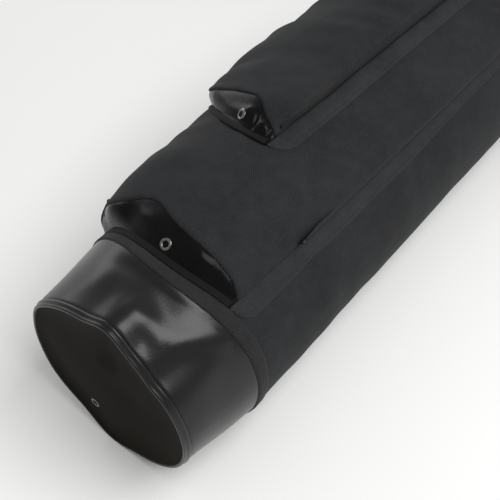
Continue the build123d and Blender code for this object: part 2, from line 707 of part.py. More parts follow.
outer_u = extrude(grip_outline(0), amount=GRIP_T / 2, both=True)
inner_u = extrude(grip_outline(SKIN), amount=GRIP_T / 2 - SKIN, both=True)
with BuildPart() as grip_cover:
    add(outer_u)
    add(inner_u, mode=Mode.SUBTRACT)
with BuildPart() as grip_core:
    add(inner_u)
with BuildPart() as handle_rings:
    add(strap_ring(-HANDLE_HALF))
    add(strap_ring(HANDLE_HALF))
with BuildPart() as handle_straps:
    add(strap_end(-HANDLE_HALF))
    add(strap_end(HANDLE_HALF))
with BuildPart() as handle_tabs:
    add(ring_tab(-HANDLE_HALF))
    add(ring_tab(HANDLE_HALF))
with BuildPart() as d_ring_tabs:
    add(ring_tab(-D_RING_HALF))
    add(ring_tab(D_RING_HALF))
with BuildPart() as base_d_ring:
    add(d_ring(-D_RING_HALF))
with BuildPart() as top_d_ring:
    add(d_ring(D_RING_HALF))

# ---------------------------------------------------------------- export
pieces = {
    "fabric_shell": fabric_shell, "back_panel": back_panel, "base_cup": base_cup, "wall_foam": wall_foam,
    "lining": lining, "cup_binding": cup_binding, "base_disc": base_disc, "base_piping": base_piping,
    "base_stiffener": base_stiffener, "base_foam": base_foam,
    "base_eyelet": base_eyelet, "base_washer": base_washer, "mouth_tape": mouth_tape,
    "mouth_teeth": mouth_teeth, "hinge_flap": hinge_flap, "cap_teeth": cap_teeth, "cap_flap": cap_flap,
    "cap_tape": cap_tape, "cap_shell": cap_shell, "cap_foam": cap_foam, "cap_lining": cap_lining,
    "cap_disc": cap_disc, "cap_stiffener": cap_stiffener, "cap_pad": cap_pad,
    "cap_piping": cap_piping, "big_flange": big_flange,
    "big_face": big_face, "big_wall_far": big_wall_far, "big_wall_near": big_wall_near,
    "big_zip_tapes": big_zip_tapes, "big_zip_teeth": big_zip_teeth, "zip_end_stops": zip_end_stops,
    "big_base_gusset": big_base_gusset, "big_top_gusset": big_top_gusset,
    "pocket_eyelets": pocket_eyelets, "pocket_washers": pocket_washers,
    "small_flange": small_flange, "small_face": small_face,
    "small_wall_far": small_wall_far, "small_wall_near": small_wall_near, "small_zip_tapes": small_zip_tapes,
    "small_zip_teeth": small_zip_teeth,
    "small_base_gusset": small_base_gusset, "small_top_gusset": small_top_gusset,
    "big_slider": big_slider,
    "big_pull": big_pull, "small_slider": small_slider, "small_pull": small_pull,
    "cap_slider": cap_slider, "cap_pull": cap_pull, "handle_tabs": handle_tabs,
    "d_ring_tabs": d_ring_tabs, "handle_rings": handle_rings, "handle_straps": handle_straps,
    "grip_cover": grip_cover, "grip_core": grip_core, "base_d_ring": base_d_ring,
    "top_d_ring": top_d_ring,
}
for label, piece in pieces.items():
    piece.part.label = label
    export_step(piece.part, f"parts/{label}.step")
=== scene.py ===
import math

import bmesh
import bpy
import numpy as np
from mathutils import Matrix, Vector


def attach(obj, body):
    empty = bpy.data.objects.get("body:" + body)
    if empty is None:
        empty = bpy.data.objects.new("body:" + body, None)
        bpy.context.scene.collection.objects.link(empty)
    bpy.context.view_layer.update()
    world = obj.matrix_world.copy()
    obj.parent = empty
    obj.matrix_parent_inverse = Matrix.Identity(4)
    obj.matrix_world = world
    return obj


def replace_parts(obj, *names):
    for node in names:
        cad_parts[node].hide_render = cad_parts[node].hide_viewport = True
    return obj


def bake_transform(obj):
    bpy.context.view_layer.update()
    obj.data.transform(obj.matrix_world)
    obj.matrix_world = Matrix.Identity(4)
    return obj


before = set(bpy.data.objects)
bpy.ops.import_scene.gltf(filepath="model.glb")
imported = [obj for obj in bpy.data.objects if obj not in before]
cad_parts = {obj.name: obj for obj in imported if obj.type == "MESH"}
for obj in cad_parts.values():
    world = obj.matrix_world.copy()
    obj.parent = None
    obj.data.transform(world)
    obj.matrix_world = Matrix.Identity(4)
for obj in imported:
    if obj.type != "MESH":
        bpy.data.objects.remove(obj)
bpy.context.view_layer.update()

# ---------- the case's own coordinates
# station: mm along the tube from its base end. angle: degrees up and over from the near side.
BASE_X = -531.0          # where station 0 sits along X
AXIS_Z = 88.0            # height of the tube's axis
MEAN_R = 92.0            # radius at which an angle is turned into a length of cloth
BODY_R = 91.2
RIM_R = 81.0             # radius of the zipped mouth
CAP_R = 79.0
TAPER = 940.0            # the tube narrows from here to the mouth
MOUTH = 980.0
CAP_TAPE_END = 1001.0
CAP_END = 1062.0
FLOOR_NEAR = 9.0         # below this height the case starts to rest flat on the floor
FLOOR_GIVE = 5.6
TOOTH_STEP = 2.5         # distance from one zip tooth to the next


def at(s, r, a):
    """World position in metres of points given by station, radius and angle, resting on the floor."""
    s, r, a = np.broadcast_arrays(np.asarray(s, float), np.asarray(r, float), np.asarray(a, float))
    t = np.radians(a)
    z = AXIS_Z + r * np.sin(t)
    z = np.where(z < FLOOR_NEAR, 0.5 * (z + np.sqrt(z * z + FLOOR_GIVE)), z)
    return np.stack([(BASE_X + s) / 1000, -r * np.cos(t) / 1000, z / 1000], -1)


def bump(s, a, s0, a0, ws, wa):
    """A soft round hill in station and angle."""
    d = (a - a0 + 180) % 360 - 180
    return np.exp(-((s - s0) / ws) ** 2 - (d / wa) ** 2)


def fold(s, a, s0, a0, s1, a1, width, radius=MEAN_R):
    """A soft ridge along a line between two places on the skin."""
    x, y = s, np.radians(a) * radius
    x0, y0, x1, y1 = s0, math.radians(a0) * radius, s1, math.radians(a1) * radius
    length2 = (x1 - x0) ** 2 + (y1 - y0) ** 2
    k = np.clip(((x - x0) * (x1 - x0) + (y - y0) * (y1 - y0)) / length2, 0, 1)
    d2 = (x - x0 - k * (x1 - x0)) ** 2 + (y - y0 - k * (y1 - y0)) ** 2
    ends = np.sin(np.pi * np.clip(k, 0.02, 0.98)) ** 0.5
    return np.exp(-d2 / width ** 2) * ends


def ripple(s, a, seed, size, count=14):
    """Gentle random waves of about one size, closed round the tube."""
    rng = np.random.RandomState(seed)
    out = np.zeros(np.broadcast(s, a).shape)
    for _ in range(count):
        n = rng.randint(1, max(2, int(2 * math.pi * MEAN_R / size)))
        k = 2 * math.pi / size * (0.5 + rng.rand())
        out = out + np.cos(k * s * rng.choice([-1, 1]) + np.radians(a) * n + rng.rand() * 6.283)
    return out / math.sqrt(count)


def ease(x):
    x = np.clip(x, 0, 1)
    return x * x * (3 - 2 * x)


# ---------- mesh helpers
def outward(me):
    """Turn every face of a closed mesh to look outwards."""
    bm = bmesh.new()
    bm.from_mesh(me)
    bmesh.ops.recalc_face_normals(bm, faces=bm.faces)
    bm.to_mesh(me)
    bm.free()


def merge(me, near):
    """Join points that lie closer together than a distance in metres."""
    bm = bmesh.new()
    bm.from_mesh(me)
    bmesh.ops.remove_doubles(bm, verts=bm.verts, dist=near)
    bm.to_mesh(me)
    bm.free()


def set_uv(me, uvs):
    """Give every corner of a mesh the weave coordinates of its point."""
    layer = me.uv_layers.new(name="UVMap")
    idx = np.empty(len(me.loops), dtype=np.int32)
    me.loops.foreach_get("vertex_index", idx)
    layer.data.foreach_set("uv", np.asarray(uvs, np.float32).reshape(-1, 2)[idx].ravel())


def make(name, verts, faces, mat, uvs=None, body="case", smooth=True):
    me = bpy.data.meshes.new(name)
    me.from_pydata([tuple(v) for v in np.asarray(verts).reshape(-1, 3)], [], faces)
    if uvs is not None:
        set_uv(me, uvs)
    me.polygons.foreach_set("use_smooth", [smooth] * len(me.polygons))
    me.materials.append(mat)
    ob = bpy.data.objects.new(name, me)
    bpy.context.scene.collection.objects.link(ob)
    if body:
        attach(ob, body)
    return ob


def bake(ob):
    """Turn an object's modifiers into its own mesh."""
    dg = bpy.context.evaluated_depsgraph_get()
    me = bpy.data.meshes.new_from_object(ob.evaluated_get(dg))
    ob.modifiers.clear()
    ob.data = me
    outward(me)
    return ob


BOX_FACES = ((0, 3, 2, 1), (4, 5, 6, 7), (0, 1, 5, 4), (1, 2, 6, 5), (2, 3, 7, 6), (3, 0, 4, 7))


def add_box(verts, faces, corners):
    """Add one eight-cornered block to lists of points and faces."""
    first = len(verts)
    verts.extend(corners)
    for q in BOX_FACES:
        faces.append(tuple(first + k for k in q))


def net(rows, cols, first=0, wrap=True, closed=False):
    """Faces that join a grid of points row by row."""
    faces = []
    for i in range(rows if closed else rows - 1):
        a, b = first + i * cols, first + (i + 1) % rows * cols
        for j in range(cols if wrap else cols - 1):
            k = (j + 1) % cols
            faces.append((a + j, a + k, b + k, b + j))
    return faces


def grid(name, P, mat, uv=None, wrap=False, thick=0.0, body="case"):
    """Skin over a grid of points; thick is in mm and goes inwards."""
    P = np.asarray(P)
    ni, nj = P.shape[:2]
    ob = make(name, P, net(ni, nj, wrap=wrap), mat, uv, None)
    if np.ptp(P[0], axis=0).max() < 1e-6:
        merge(ob.data, 1e-7)
    if thick:
        m = ob.modifiers.new("thick", "SOLIDIFY")
        m.thickness = thick / 1000
        m.offset = -1
        m.use_even_offset = False
        bake(ob)
        for poly in ob.data.polygons:
            poly.use_smooth = True
    if body:
        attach(ob, body)
    return ob


def skin_over(name, s, r, a, mat, **how):
    """A grid given by station, radius and angle, its weave running along the tube and round it."""
    s, r, a = np.broadcast_arrays(s, r, a)
    uv = np.stack([s / 1000, np.radians(a) * MEAN_R / 1000], -1)
    return grid(name, at(s, r, a), mat, uv, **how)


def tube(name, path, radius, mat, body="case", sides=12, closed=False):
    """Round cord along a path in metres; radius in mm."""
    path = np.asarray(path, float)
    n = len(path)
    nxt = np.roll(path, -1, 0) if closed else np.vstack([path[1:], 2 * path[-1:] - path[-2:-1]])
    prv = np.roll(path, 1, 0) if closed else np.vstack([2 * path[:1] - path[1:2], path[:-1]])
    tan = nxt - prv
    tan /= np.linalg.norm(tan, axis=1)[:, None]
    up = np.tile([0.31, 0.52, 0.79], (n, 1))
    frames = np.cross(tan, up)
    frames /= np.linalg.norm(frames, axis=1)[:, None]
    side = np.cross(tan, frames)
    phi = np.linspace(0, 2 * math.pi, sides, endpoint=False)
    ring = (frames[:, None] * np.cos(phi)[None, :, None] + side[:, None] * np.sin(phi)[None, :, None])
    P = path[:, None] + ring * radius / 1000
    faces = net(n, sides, closed=closed)
    if not closed:
        faces.append(tuple(range(sides))[::-1])
        faces.append(tuple((n - 1) * sides + j for j in range(sides)))
    ob = make(name, P, faces, mat, body=body)
    outward(ob.data)
    return ob


def resample(path, step):
    """Points at equal distances along a path, and the directions there."""
    path = np.asarray(path, float)
    seg = np.linalg.norm(np.diff(path, axis=0), axis=1)
    cum = np.concatenate([[0], np.cumsum(seg)])
    n = max(2, int(cum[-1] / step))
    d = (np.arange(n) + 0.5) * cum[-1] / n

    def along(x):
        return np.stack([np.interp(x, cum, path[:, k]) for k in range(3)], 1)

    t = along(d + step * 0.2) - along(d - step * 0.2)
    return along(d), t / np.maximum(np.linalg.norm(t, axis=1)[:, None], 1e-9)


def stitches(name, paths, mat, body="case", pitch=2.6, length=1.9, radius=0.30):
    """Rows of sewn stitches: one small thread loop for each."""
    verts, faces = [], []
    prof = [(-0.5, 0.0), (-0.42, 0.75), (-0.15, 1.0), (0.15, 1.0), (0.42, 0.75), (0.5, 0.0)]
    sides = 6
    for path in paths:
        pts, tans = resample(path, pitch / 1000)
        for p, t in zip(pts, tans):
            u = np.cross(t, [0.3, 0.5, 0.81])
            u /= np.linalg.norm(u)
            w = np.cross(t, u)
            base = len(verts)
            for x, f in prof:
                for j in range(sides):
                    c = 2 * math.pi * j / sides
                    verts.append(p + t * x * length / 1000
                                 + (u * math.cos(c) + w * math.sin(c)) * f * radius / 1000)
            faces += net(len(prof), sides, base)
    return make(name, verts, faces, mat, body=body)


def lathe(name, profile, centre, normal, mat, sides):
    """Turned piece on an axis; profile is (radius, height) in mm."""
    n = Vector(normal).normalized()
    rot = n.to_track_quat("Z", "Y").to_matrix()
    verts, faces = [], []
    m = len(profile)
    for j in range(sides):
        c = 2 * math.pi * j / sides
        for r, h in profile:
            v = rot @ Vector((r * math.cos(c) / 1000, r * math.sin(c) / 1000, h / 1000))
            verts.append(Vector(centre) + v)
    for j in range(sides):
        k = (j + 1) % sides
        for i in range(m - 1):
            faces.append((j * m + i, k * m + i, k * m + i + 1, j * m + i + 1))
    ob = make(name, [tuple(v) for v in verts], faces, mat)
    if profile[0][0] < 0.01 or profile[-1][0] < 0.01:
        merge(ob.data, 1e-6)
    outward(ob.data)
    return ob


# ---------- materials
def new_mat(name):
    m = bpy.data.materials.new(name)
    m.use_nodes = True
    nt = m.node_tree
    return m, nt, nt.nodes["Principled BSDF"]


def node(nt, kind, **vals):
    n = nt.nodes.new(kind)
    for k, v in vals.items():
        if k in n.inputs:
            n.inputs[k].default_value = v
        else:
            setattr(n, k, v)
    return n


def feed(nt, socket, x):
    """Give a socket a number, a colour or the output of another node."""
    if isinstance(x, (int, float)):
        socket.default_value = x
    elif isinstance(x, tuple):
        socket.default_value = (*x, 1)
    else:
        nt.links.new(x, socket)


def maths(nt, op, a, b=0.5):
    n = nt.nodes.new("ShaderNodeMath")
    n.operation = op
    feed(nt, n.inputs[0], a)
    feed(nt, n.inputs[1], b)
    return n.outputs[0]


def mix_colour(nt, fac, a, b):
    n = nt.nodes.new("ShaderNodeMix")
    n.data_type = "RGBA"
    for i, x in ((0, fac), (6, a), (7, b)):
        feed(nt, n.inputs[i], x)
    return n.outputs[2]


def ramp(nt, fac, lo, hi):
    n = nt.nodes.new("ShaderNodeMapRange")
    n.inputs["From Min"].default_value = lo
    n.inputs["From Max"].default_value = hi
    nt.links.new(fac, n.inputs["Value"])
    return n.outputs[0]


def noise(nt, vec, scale, detail=4.0, rough=0.55):
    n = node(nt, "ShaderNodeTexNoise", Scale=scale, Detail=detail, Roughness=rough)
    nt.links.new(vec, n.inputs["Vector"])
    return n.outputs["Fac"]


def weighted(nt, *parts):
    """Sum of values, each times its weight."""
    total = None
    for value, weight in parts:
        share = maths(nt, "MULTIPLY", value, weight)
        total = share if total is None else maths(nt, "ADD", total, share)
    return total


def add_bump(nt, shader, height, strength, distance):
    n = node(nt, "ShaderNodeBump", Strength=strength, Distance=distance)
    nt.links.new(height, n.inputs["Height"])
    nt.links.new(n.outputs[0], shader.inputs["Normal"])


def cloth(name, dark, light, pitch=1.6, rib=1.0, bump_mm=0.22, sheen=0.03, rough=0.8, spec=0.18):
    """Woven cloth: crossed threads of one pitch in mm, uneven yarn, faint wear and lint."""
    m, nt, b = new_mat(name)
    tc = nt.nodes.new("ShaderNodeTexCoord")
    sep = nt.nodes.new("ShaderNodeSeparateXYZ")
    nt.links.new(tc.outputs["UV"], sep.inputs[0])
    obj = tc.outputs["Object"]
    wob = noise(nt, obj, 260.0, 2.0)
    k = 2 * math.pi * 1000 / pitch
    u = weighted(nt, (sep.outputs[0], k), (wob, 1.6))
    v = weighted(nt, (sep.outputs[1], k * rib), (wob, 1.6))
    crossed = maths(nt, "MULTIPLY", maths(nt, "SINE", u), maths(nt, "SINE", v))
    weave = ramp(nt, crossed, -1.0, 1.0)
    thread = noise(nt, obj, 700.0, 3.0)
    slub = noise(nt, obj, 95.0, 4.0, 0.65)
    blot = noise(nt, obj, 14.0, 5.0, 0.6)
    fac = weighted(nt, (weave, 0.75), (ramp(nt, thread, 0.3, 0.7), 0.3),
                   (ramp(nt, blot, 0.35, 0.65), 0.30), (ramp(nt, slub, 0.3, 0.7), 0.24))
    fac = maths(nt, "SUBTRACT", fac, 0.24)
    nt.links.new(mix_colour(nt, fac, dark, light), b.inputs["Base Color"])
    rg = maths(nt, "ADD", maths(nt, "MULTIPLY", blot, 0.16), rough - 0.08)
    nt.links.new(rg, b.inputs["Roughness"])
    add_bump(nt, b, weighted(nt, (weave, 0.7), (thread, 0.5)), 0.8, bump_mm / 1000)
    b.inputs["Sheen Weight"].default_value = sheen
    b.inputs["Sheen Roughness"].default_value = 0.45
    b.inputs["Specular IOR Level"].default_value = spec
    return m


def leather(name, dark, light, rough=0.36, spec=0.3, grain=0.05, crease=0.4):
    """Smooth faux leather: fine pebble grain, soft creases, scuffs that change the gloss."""
    m, nt, b = new_mat(name)
    tc = nt.nodes.new("ShaderNodeTexCoord")
    obj = tc.outputs["Object"]
    blot = noise(nt, obj, 22.0, 5.0, 0.6)
    fine = noise(nt, obj, 650.0, 3.0)
    vor = node(nt, "ShaderNodeTexVoronoi", Scale=900.0)
    nt.links.new(obj, vor.inputs["Vector"])
    soft = noise(nt, obj, 48.0, 3.0, 0.5)
    nt.links.new(mix_colour(nt, ramp(nt, blot, 0.3, 0.7), dark, light), b.inputs["Base Color"])
    rg = weighted(nt, (blot, 0.14), (fine, 0.08))
    nt.links.new(maths(nt, "ADD", rg, rough - 0.11), b.inputs["Roughness"])
    height = weighted(nt, (vor.outputs["Distance"], grain), (fine, grain * 0.6), (soft, crease))
    add_bump(nt, b, height, 0.6, 0.0012)
    b.inputs["Specular IOR Level"].default_value = spec
    return m


def metal(name, colour, rough=0.28, metallic=1.0):
    m, nt, b = new_mat(name)
    tc = nt.nodes.new("ShaderNodeTexCoord")
    blot = noise(nt, tc.outputs["Object"], 300.0, 4.0)
    scr = noise(nt, tc.outputs["Object"], 1500.0, 2.0)
    dark = tuple(c * 0.72 for c in colour)
    nt.links.new(mix_colour(nt, ramp(nt, blot, 0.35, 0.75), dark, colour), b.inputs["Base Color"])
    nt.links.new(maths(nt, "ADD", maths(nt, "MULTIPLY", scr, 0.2), rough - 0.1), b.inputs["Roughness"])
    add_bump(nt, b, scr, 0.2, 0.0002)
    b.inputs["Metallic"].default_value = metallic
    return m


BLACK_YARN = (0.0040, 0.0043, 0.0050), (0.0255, 0.0268, 0.0290)
FABRIC = cloth("black woven nylon", *BLACK_YARN, sheen=0.015)
FABRIC_POCKET = cloth("black woven nylon, pocket", *BLACK_YARN, sheen=0.015)
STRIP = cloth("flat woven margin", (0.0085, 0.009, 0.010), (0.034, 0.0355, 0.0380), pitch=1.3)
TAPE = cloth("ribbed binding tape", (0.007, 0.007, 0.0075), (0.028, 0.0285, 0.0295),
             pitch=1.6, rib=0.30, bump_mm=0.25)
# very dark cloth: the real folded seam at the leather ends, and also the painted crease shadow of the cord
# along each pocket's near foot
SEAM_AND_CREASE_SHADOW = cloth("folded seam edge", (0.0015, 0.0015, 0.0017), (0.006, 0.006, 0.0064), pitch=1.4, rib=0.5)
ZIP_TAPE = cloth("zip tape", (0.007, 0.007, 0.0075), (0.024, 0.024, 0.025), pitch=1.2, rib=0.5)
WEBBING = cloth("webbing", (0.010, 0.010, 0.011), (0.034, 0.034, 0.036), pitch=2.2, rib=0.4, bump_mm=0.3)
LINING = cloth("lining cloth", (0.020, 0.020, 0.022), (0.050, 0.050, 0.055),
               pitch=1.1, sheen=0.1, rough=0.6)
CUP = leather("glossy faux leather", (0.0036, 0.0036, 0.0042), (0.0065, 0.0065, 0.0073),
              rough=0.31, spec=0.36)
# warm brown base: partly the leather's own dark tone, partly a painted warm reflection from below; its real
# reflection is almost turned off
DISC = leather("dull faux leather", (0.0070, 0.0062, 0.0042), (0.0115, 0.0102, 0.0072),
               rough=0.40, spec=0.009)
POCKET_LEATHER = leather("soft faux leather", (0.0024, 0.0024, 0.0029), (0.0040, 0.0040, 0.0046),
                         rough=0.24, spec=0.09, crease=0.9)
THREAD = cloth("thread", (0.012, 0.012, 0.013), (0.045, 0.045, 0.047), pitch=0.8)
NICKEL = metal("nickel plate", (0.26, 0.245, 0.22), rough=0.26)
BLACK_METAL = metal("black painted metal", (0.03, 0.03, 0.032), rough=0.36, metallic=0.2)
NYLON = leather("nylon teeth", (0.010, 0.010, 0.011), (0.018, 0.018, 0.019),
                rough=0.42, spec=0.4, crease=0.1)
BOARD = leather("plastic board", (0.02, 0.02, 0.02), (0.03, 0.03, 0.03), rough=0.6, spec=0.3, crease=0.1)
FOAM = cloth("foam", (0.25, 0.25, 0.26), (0.42, 0.42, 0.43), pitch=2.0, sheen=0.1, rough=0.9)
# near-black disc set down each eyelet's hole: painted shade of the unlit inside
HOLE_SHADE = leather("painted shade down a hole", (0.002, 0.002, 0.002), (0.003, 0.003, 0.003), rough=0.9, spec=0.05)

# ---------- the tube's skin and its ends
AROUND = np.linspace(0, 360, 240, endpoint=False)   # angles all the way round
HINGE_HALF = 24.0


def rim(a):
    """Radius of the base rim: a stiff disc pushed out of round, with a ridge on top and flattened below."""
    return (78.8 + 9.6 * bump(0, a, 0, 79, 1, 11) - 3.6 * bump(0, a, 0, 46, 1, 9)
            + 8.6 * bump(0, a, 0, 264, 1, 14) + 2.3 * bump(0, a, 0, 145, 1, 14)
            + 1.6 * bump(0, a, 0, 208, 1, 12) - 2.6 * bump(0, a, 0, 237, 1, 11)
            + 1.6 * bump(0, a, 0, 330, 1, 40))


def tape_low(a):
    """Station of the binding tape's edge on the leather; the tape is pulled towards the base on top."""
    return 70.5 - 15.5 * bump(0, a, 0, 80, 1, 40)


def tape_high(a):
    """Station of the binding tape's edge on the fabric."""
    d = (np.asarray(a, float) - 83 + 180) % 360 - 180
    return 82.0 - 17.4 * np.exp(-(d / np.where(d < 0, 35.0, 47.0)) ** 2)


def body_r(s, a):
    """Radius of the fabric tube, with the slack of soft cloth over padding."""
    taper = np.clip((s - TAPER) / (MOUTH - TAPER), 0, 1)
    loose = ease((s - 80) / 60) * ease((MOUTH - 30 - s) / 60)
    slack = 0.42 * ripple(s, a, 3, 150) + 0.22 * ripple(s, a, 5, 55)
    return BODY_R + (RIM_R - BODY_R) * taper + slack * loose


def cup_r(s, a):
    """Radius of the leather base cup, pulled between rim and tape, with dents and ridges in its skin."""
    low = tape_low(a)
    u = np.clip(s / low, 0, 1.2)
    r = rim(a) + (BODY_R - 0.2 - rim(a)) * u ** 0.92
    inner = ease(s / 9) * ease((low - s) / 7)
    dents = (2.3 * fold(s, a, 22, 84, 22, 56, 9) + 2.6 * fold(s, a, 22, 57, 66, 38, 9)
             - 2.0 * bump(s, a, 15, 65, 10, 7) - 3.4 * bump(s, a, 43, 74, 14, 12)
             - 2.4 * bump(s, a, 50, 93, 9, 13) + 1.6 * bump(s, a, 30, 104, 14, 9)
             - 1.6 * bump(s, a, 40, 20, 20, 14) + 0.45 * ripple(s, a, 11, 85))
    seam = 0.95 * np.exp(-((s - 2.7) / 1.0) ** 2) - 0.6 * np.exp(-((s - 4.8) / 0.9) ** 2)
    return r + dents * inner + seam


def all_round(rows):
    """The same value at every angle, one row for each."""
    return np.repeat(np.asarray(rows, float)[:, None], len(AROUND), 1)


def tube_side(name, stations, radius_of, mat, thick, body="case"):
    """Closed tube of cloth or leather over rows of stations."""
    S = stations if stations.ndim == 2 else all_round(stations)
    A = np.broadcast_to(AROUND, S.shape)
    R = radius_of(S, A)
    return skin_over(name, S, R, A, mat, wrap=True, thick=thick, body=body)


u = np.linspace(0, 1, 231)[:, None]
start = tape_high(AROUND)[None, :] - 5
skin = tube_side("body_fabric", start + (MOUTH + 0.5 - start) * u, body_r, FABRIC, 1.2)
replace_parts(skin, "fabric_shell", "back_panel")

near_rows = np.concatenate([np.arange(0.4, 8, 0.4), np.arange(8, 100, 2.0)]) / 78.0
rows = near_rows[near_rows < 0.97]
rows = np.concatenate([rows, [0.985, 1.0, 1.06]])[:, None]
cup = tube_side("base_cup_leather", rows * tape_low(AROUND)[None, :], cup_r, CUP, 1.1)
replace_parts(cup, "base_cup")


def shell_r(s, a):
    """Radius of whatever skin is at that place."""
    return np.where(s < tape_low(a) + 2, cup_r(s, a), body_r(s, a))


v = np.linspace(0, 1, 13)[:, None]
lift = 1.35 * (1 - np.abs(2 * v - 1) ** 7) + 0.05
T_A = np.broadcast_to(AROUND, (13, len(AROUND)))
T_S = tape_low(T_A) + (tape_high(T_A) - tape_low(T_A)) * v
T_R = body_r(T_S, T_A) + lift + 0.12 * np.sin(T_S * 3.1)
tape = skin_over("binding_tape", T_S, T_R, T_A, TAPE, wrap=True, thick=0.9)
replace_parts(tape, "cup_binding")
closed = np.append(AROUND, 360.0)
tape_rows = []
for share in (0.2, 0.82):
    s = tape_low(closed) + (tape_high(closed) - tape_low(closed)) * share
    tape_rows.append(at(s, body_r(s, closed) + 1.5, closed))
tape_row = stitches("tape_stitching", tape_rows, THREAD)

ringed = np.linspace(0, 360, 360, endpoint=False)
piping_path = at(-0.7 + 0 * ringed, rim(ringed) - 0.1, ringed)
piping = tube("base_piping_cord", piping_path, 1.6, CUP, sides=14, closed=True)
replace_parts(piping, "base_piping")


def end_disc(name, rings, edge, station_of, body):
    """Skin of a round end: rings of points from its middle out to an edge radius."""
    f = np.linspace(0.0, 1, rings)[:, None] ** 0.8
    A = np.broadcast_to(ringed[::2], (rings, 180))
    R = f * np.broadcast_to(edge, A.shape)
    uv = np.stack([R * np.cos(np.radians(A)), R * np.sin(np.radians(A))], -1) / 1000
    return grid(name, at(station_of(f, A), R, A), DISC, uv, wrap=True, thick=1.0, body=body)


def disc_s(f, a):
    """How far in the base disc's skin sits: a shallow dish with a soft crease and a few dents."""
    x, y = f * np.cos(np.radians(a)), f * np.sin(np.radians(a))
    dish = 2.6 * (1 - f ** 7) - 0.8
    crease = 2.2 * np.exp(-((x - 0.42 * y + 0.10) / 0.13) ** 2) * ease((y - 0.25) / 0.35) * (1 - f ** 5)
    dents = 1.1 * np.exp(-((x - 0.35) ** 2 + (y - 0.1) ** 2) / 0.10)
    dents = dents - 0.8 * np.exp(-((x + 0.3) ** 2 + y ** 2) / 0.2)
    waves = 0.35 * np.sin(5.0 * x + 2.2) * np.sin(4.1 * y + 0.6)
    return dish + crease + (dents + waves) * (1 - f ** 6)


disc = end_disc("base_disc_leather", 44, rim(ringed[::2]) - 1.2, disc_s, "case")
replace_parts(disc, "base_disc")


def eyelet(name, centre, normal):
    """Rolled drain eyelet: a domed ring and its barrel, with a near-black disc of painted shade down the
    hole.
    """
    profile = [(2.2, -3.2), (2.2, -0.4), (2.4, 0.35), (2.9, 0.95), (3.6, 1.15), (4.5, 0.95),
               (5.1, 0.4), (5.3, 0.0), (5.2, -0.35), (3.1, -0.4), (2.9, -3.2), (2.3, -3.2)]
    ob = lathe(name, profile, centre, normal, NICKEL, sides=48)
    lathe(name + "_hole", [(0.0, -2.2), (1.5, -2.15), (2.35, -2.0)], centre, normal, HOLE_SHADE, sides=24)
    return ob


# the drain hole sits below the middle of the base disc, towards the far side
HOLE_FAR = 24.4
HOLE_DOWN = 47.9
hole_r = math.hypot(HOLE_FAR, HOLE_DOWN)
hole_a = math.degrees(math.atan2(-HOLE_DOWN, -HOLE_FAR)) % 360
spot = at(disc_s(np.array(hole_r / 79), np.array(hole_a)) - 0.1, hole_r, hole_a)
base_hole = eyelet("base_drain_eyelet", spot, (-1, 0, 0))
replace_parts(base_hole, "base_eyelet", "base_washer")

# ---------- pockets


def superellipse(phi, n):
    """Place across (0 to 1) and height (0 to 1) of a rounded section, evenly spread along its outline."""
    c, s = np.cos(np.pi * phi), np.sin(np.pi * phi)
    across = 0.5 - 0.5 * np.sign(c) * np.abs(c) ** (2 / n)
    return across, np.abs(s) ** (2 / n)


HOOD_LENGTH = 62.0       # length over which a pocket rises from its hood to full height
END_LENGTH = 26.0        # length of its rounded top end


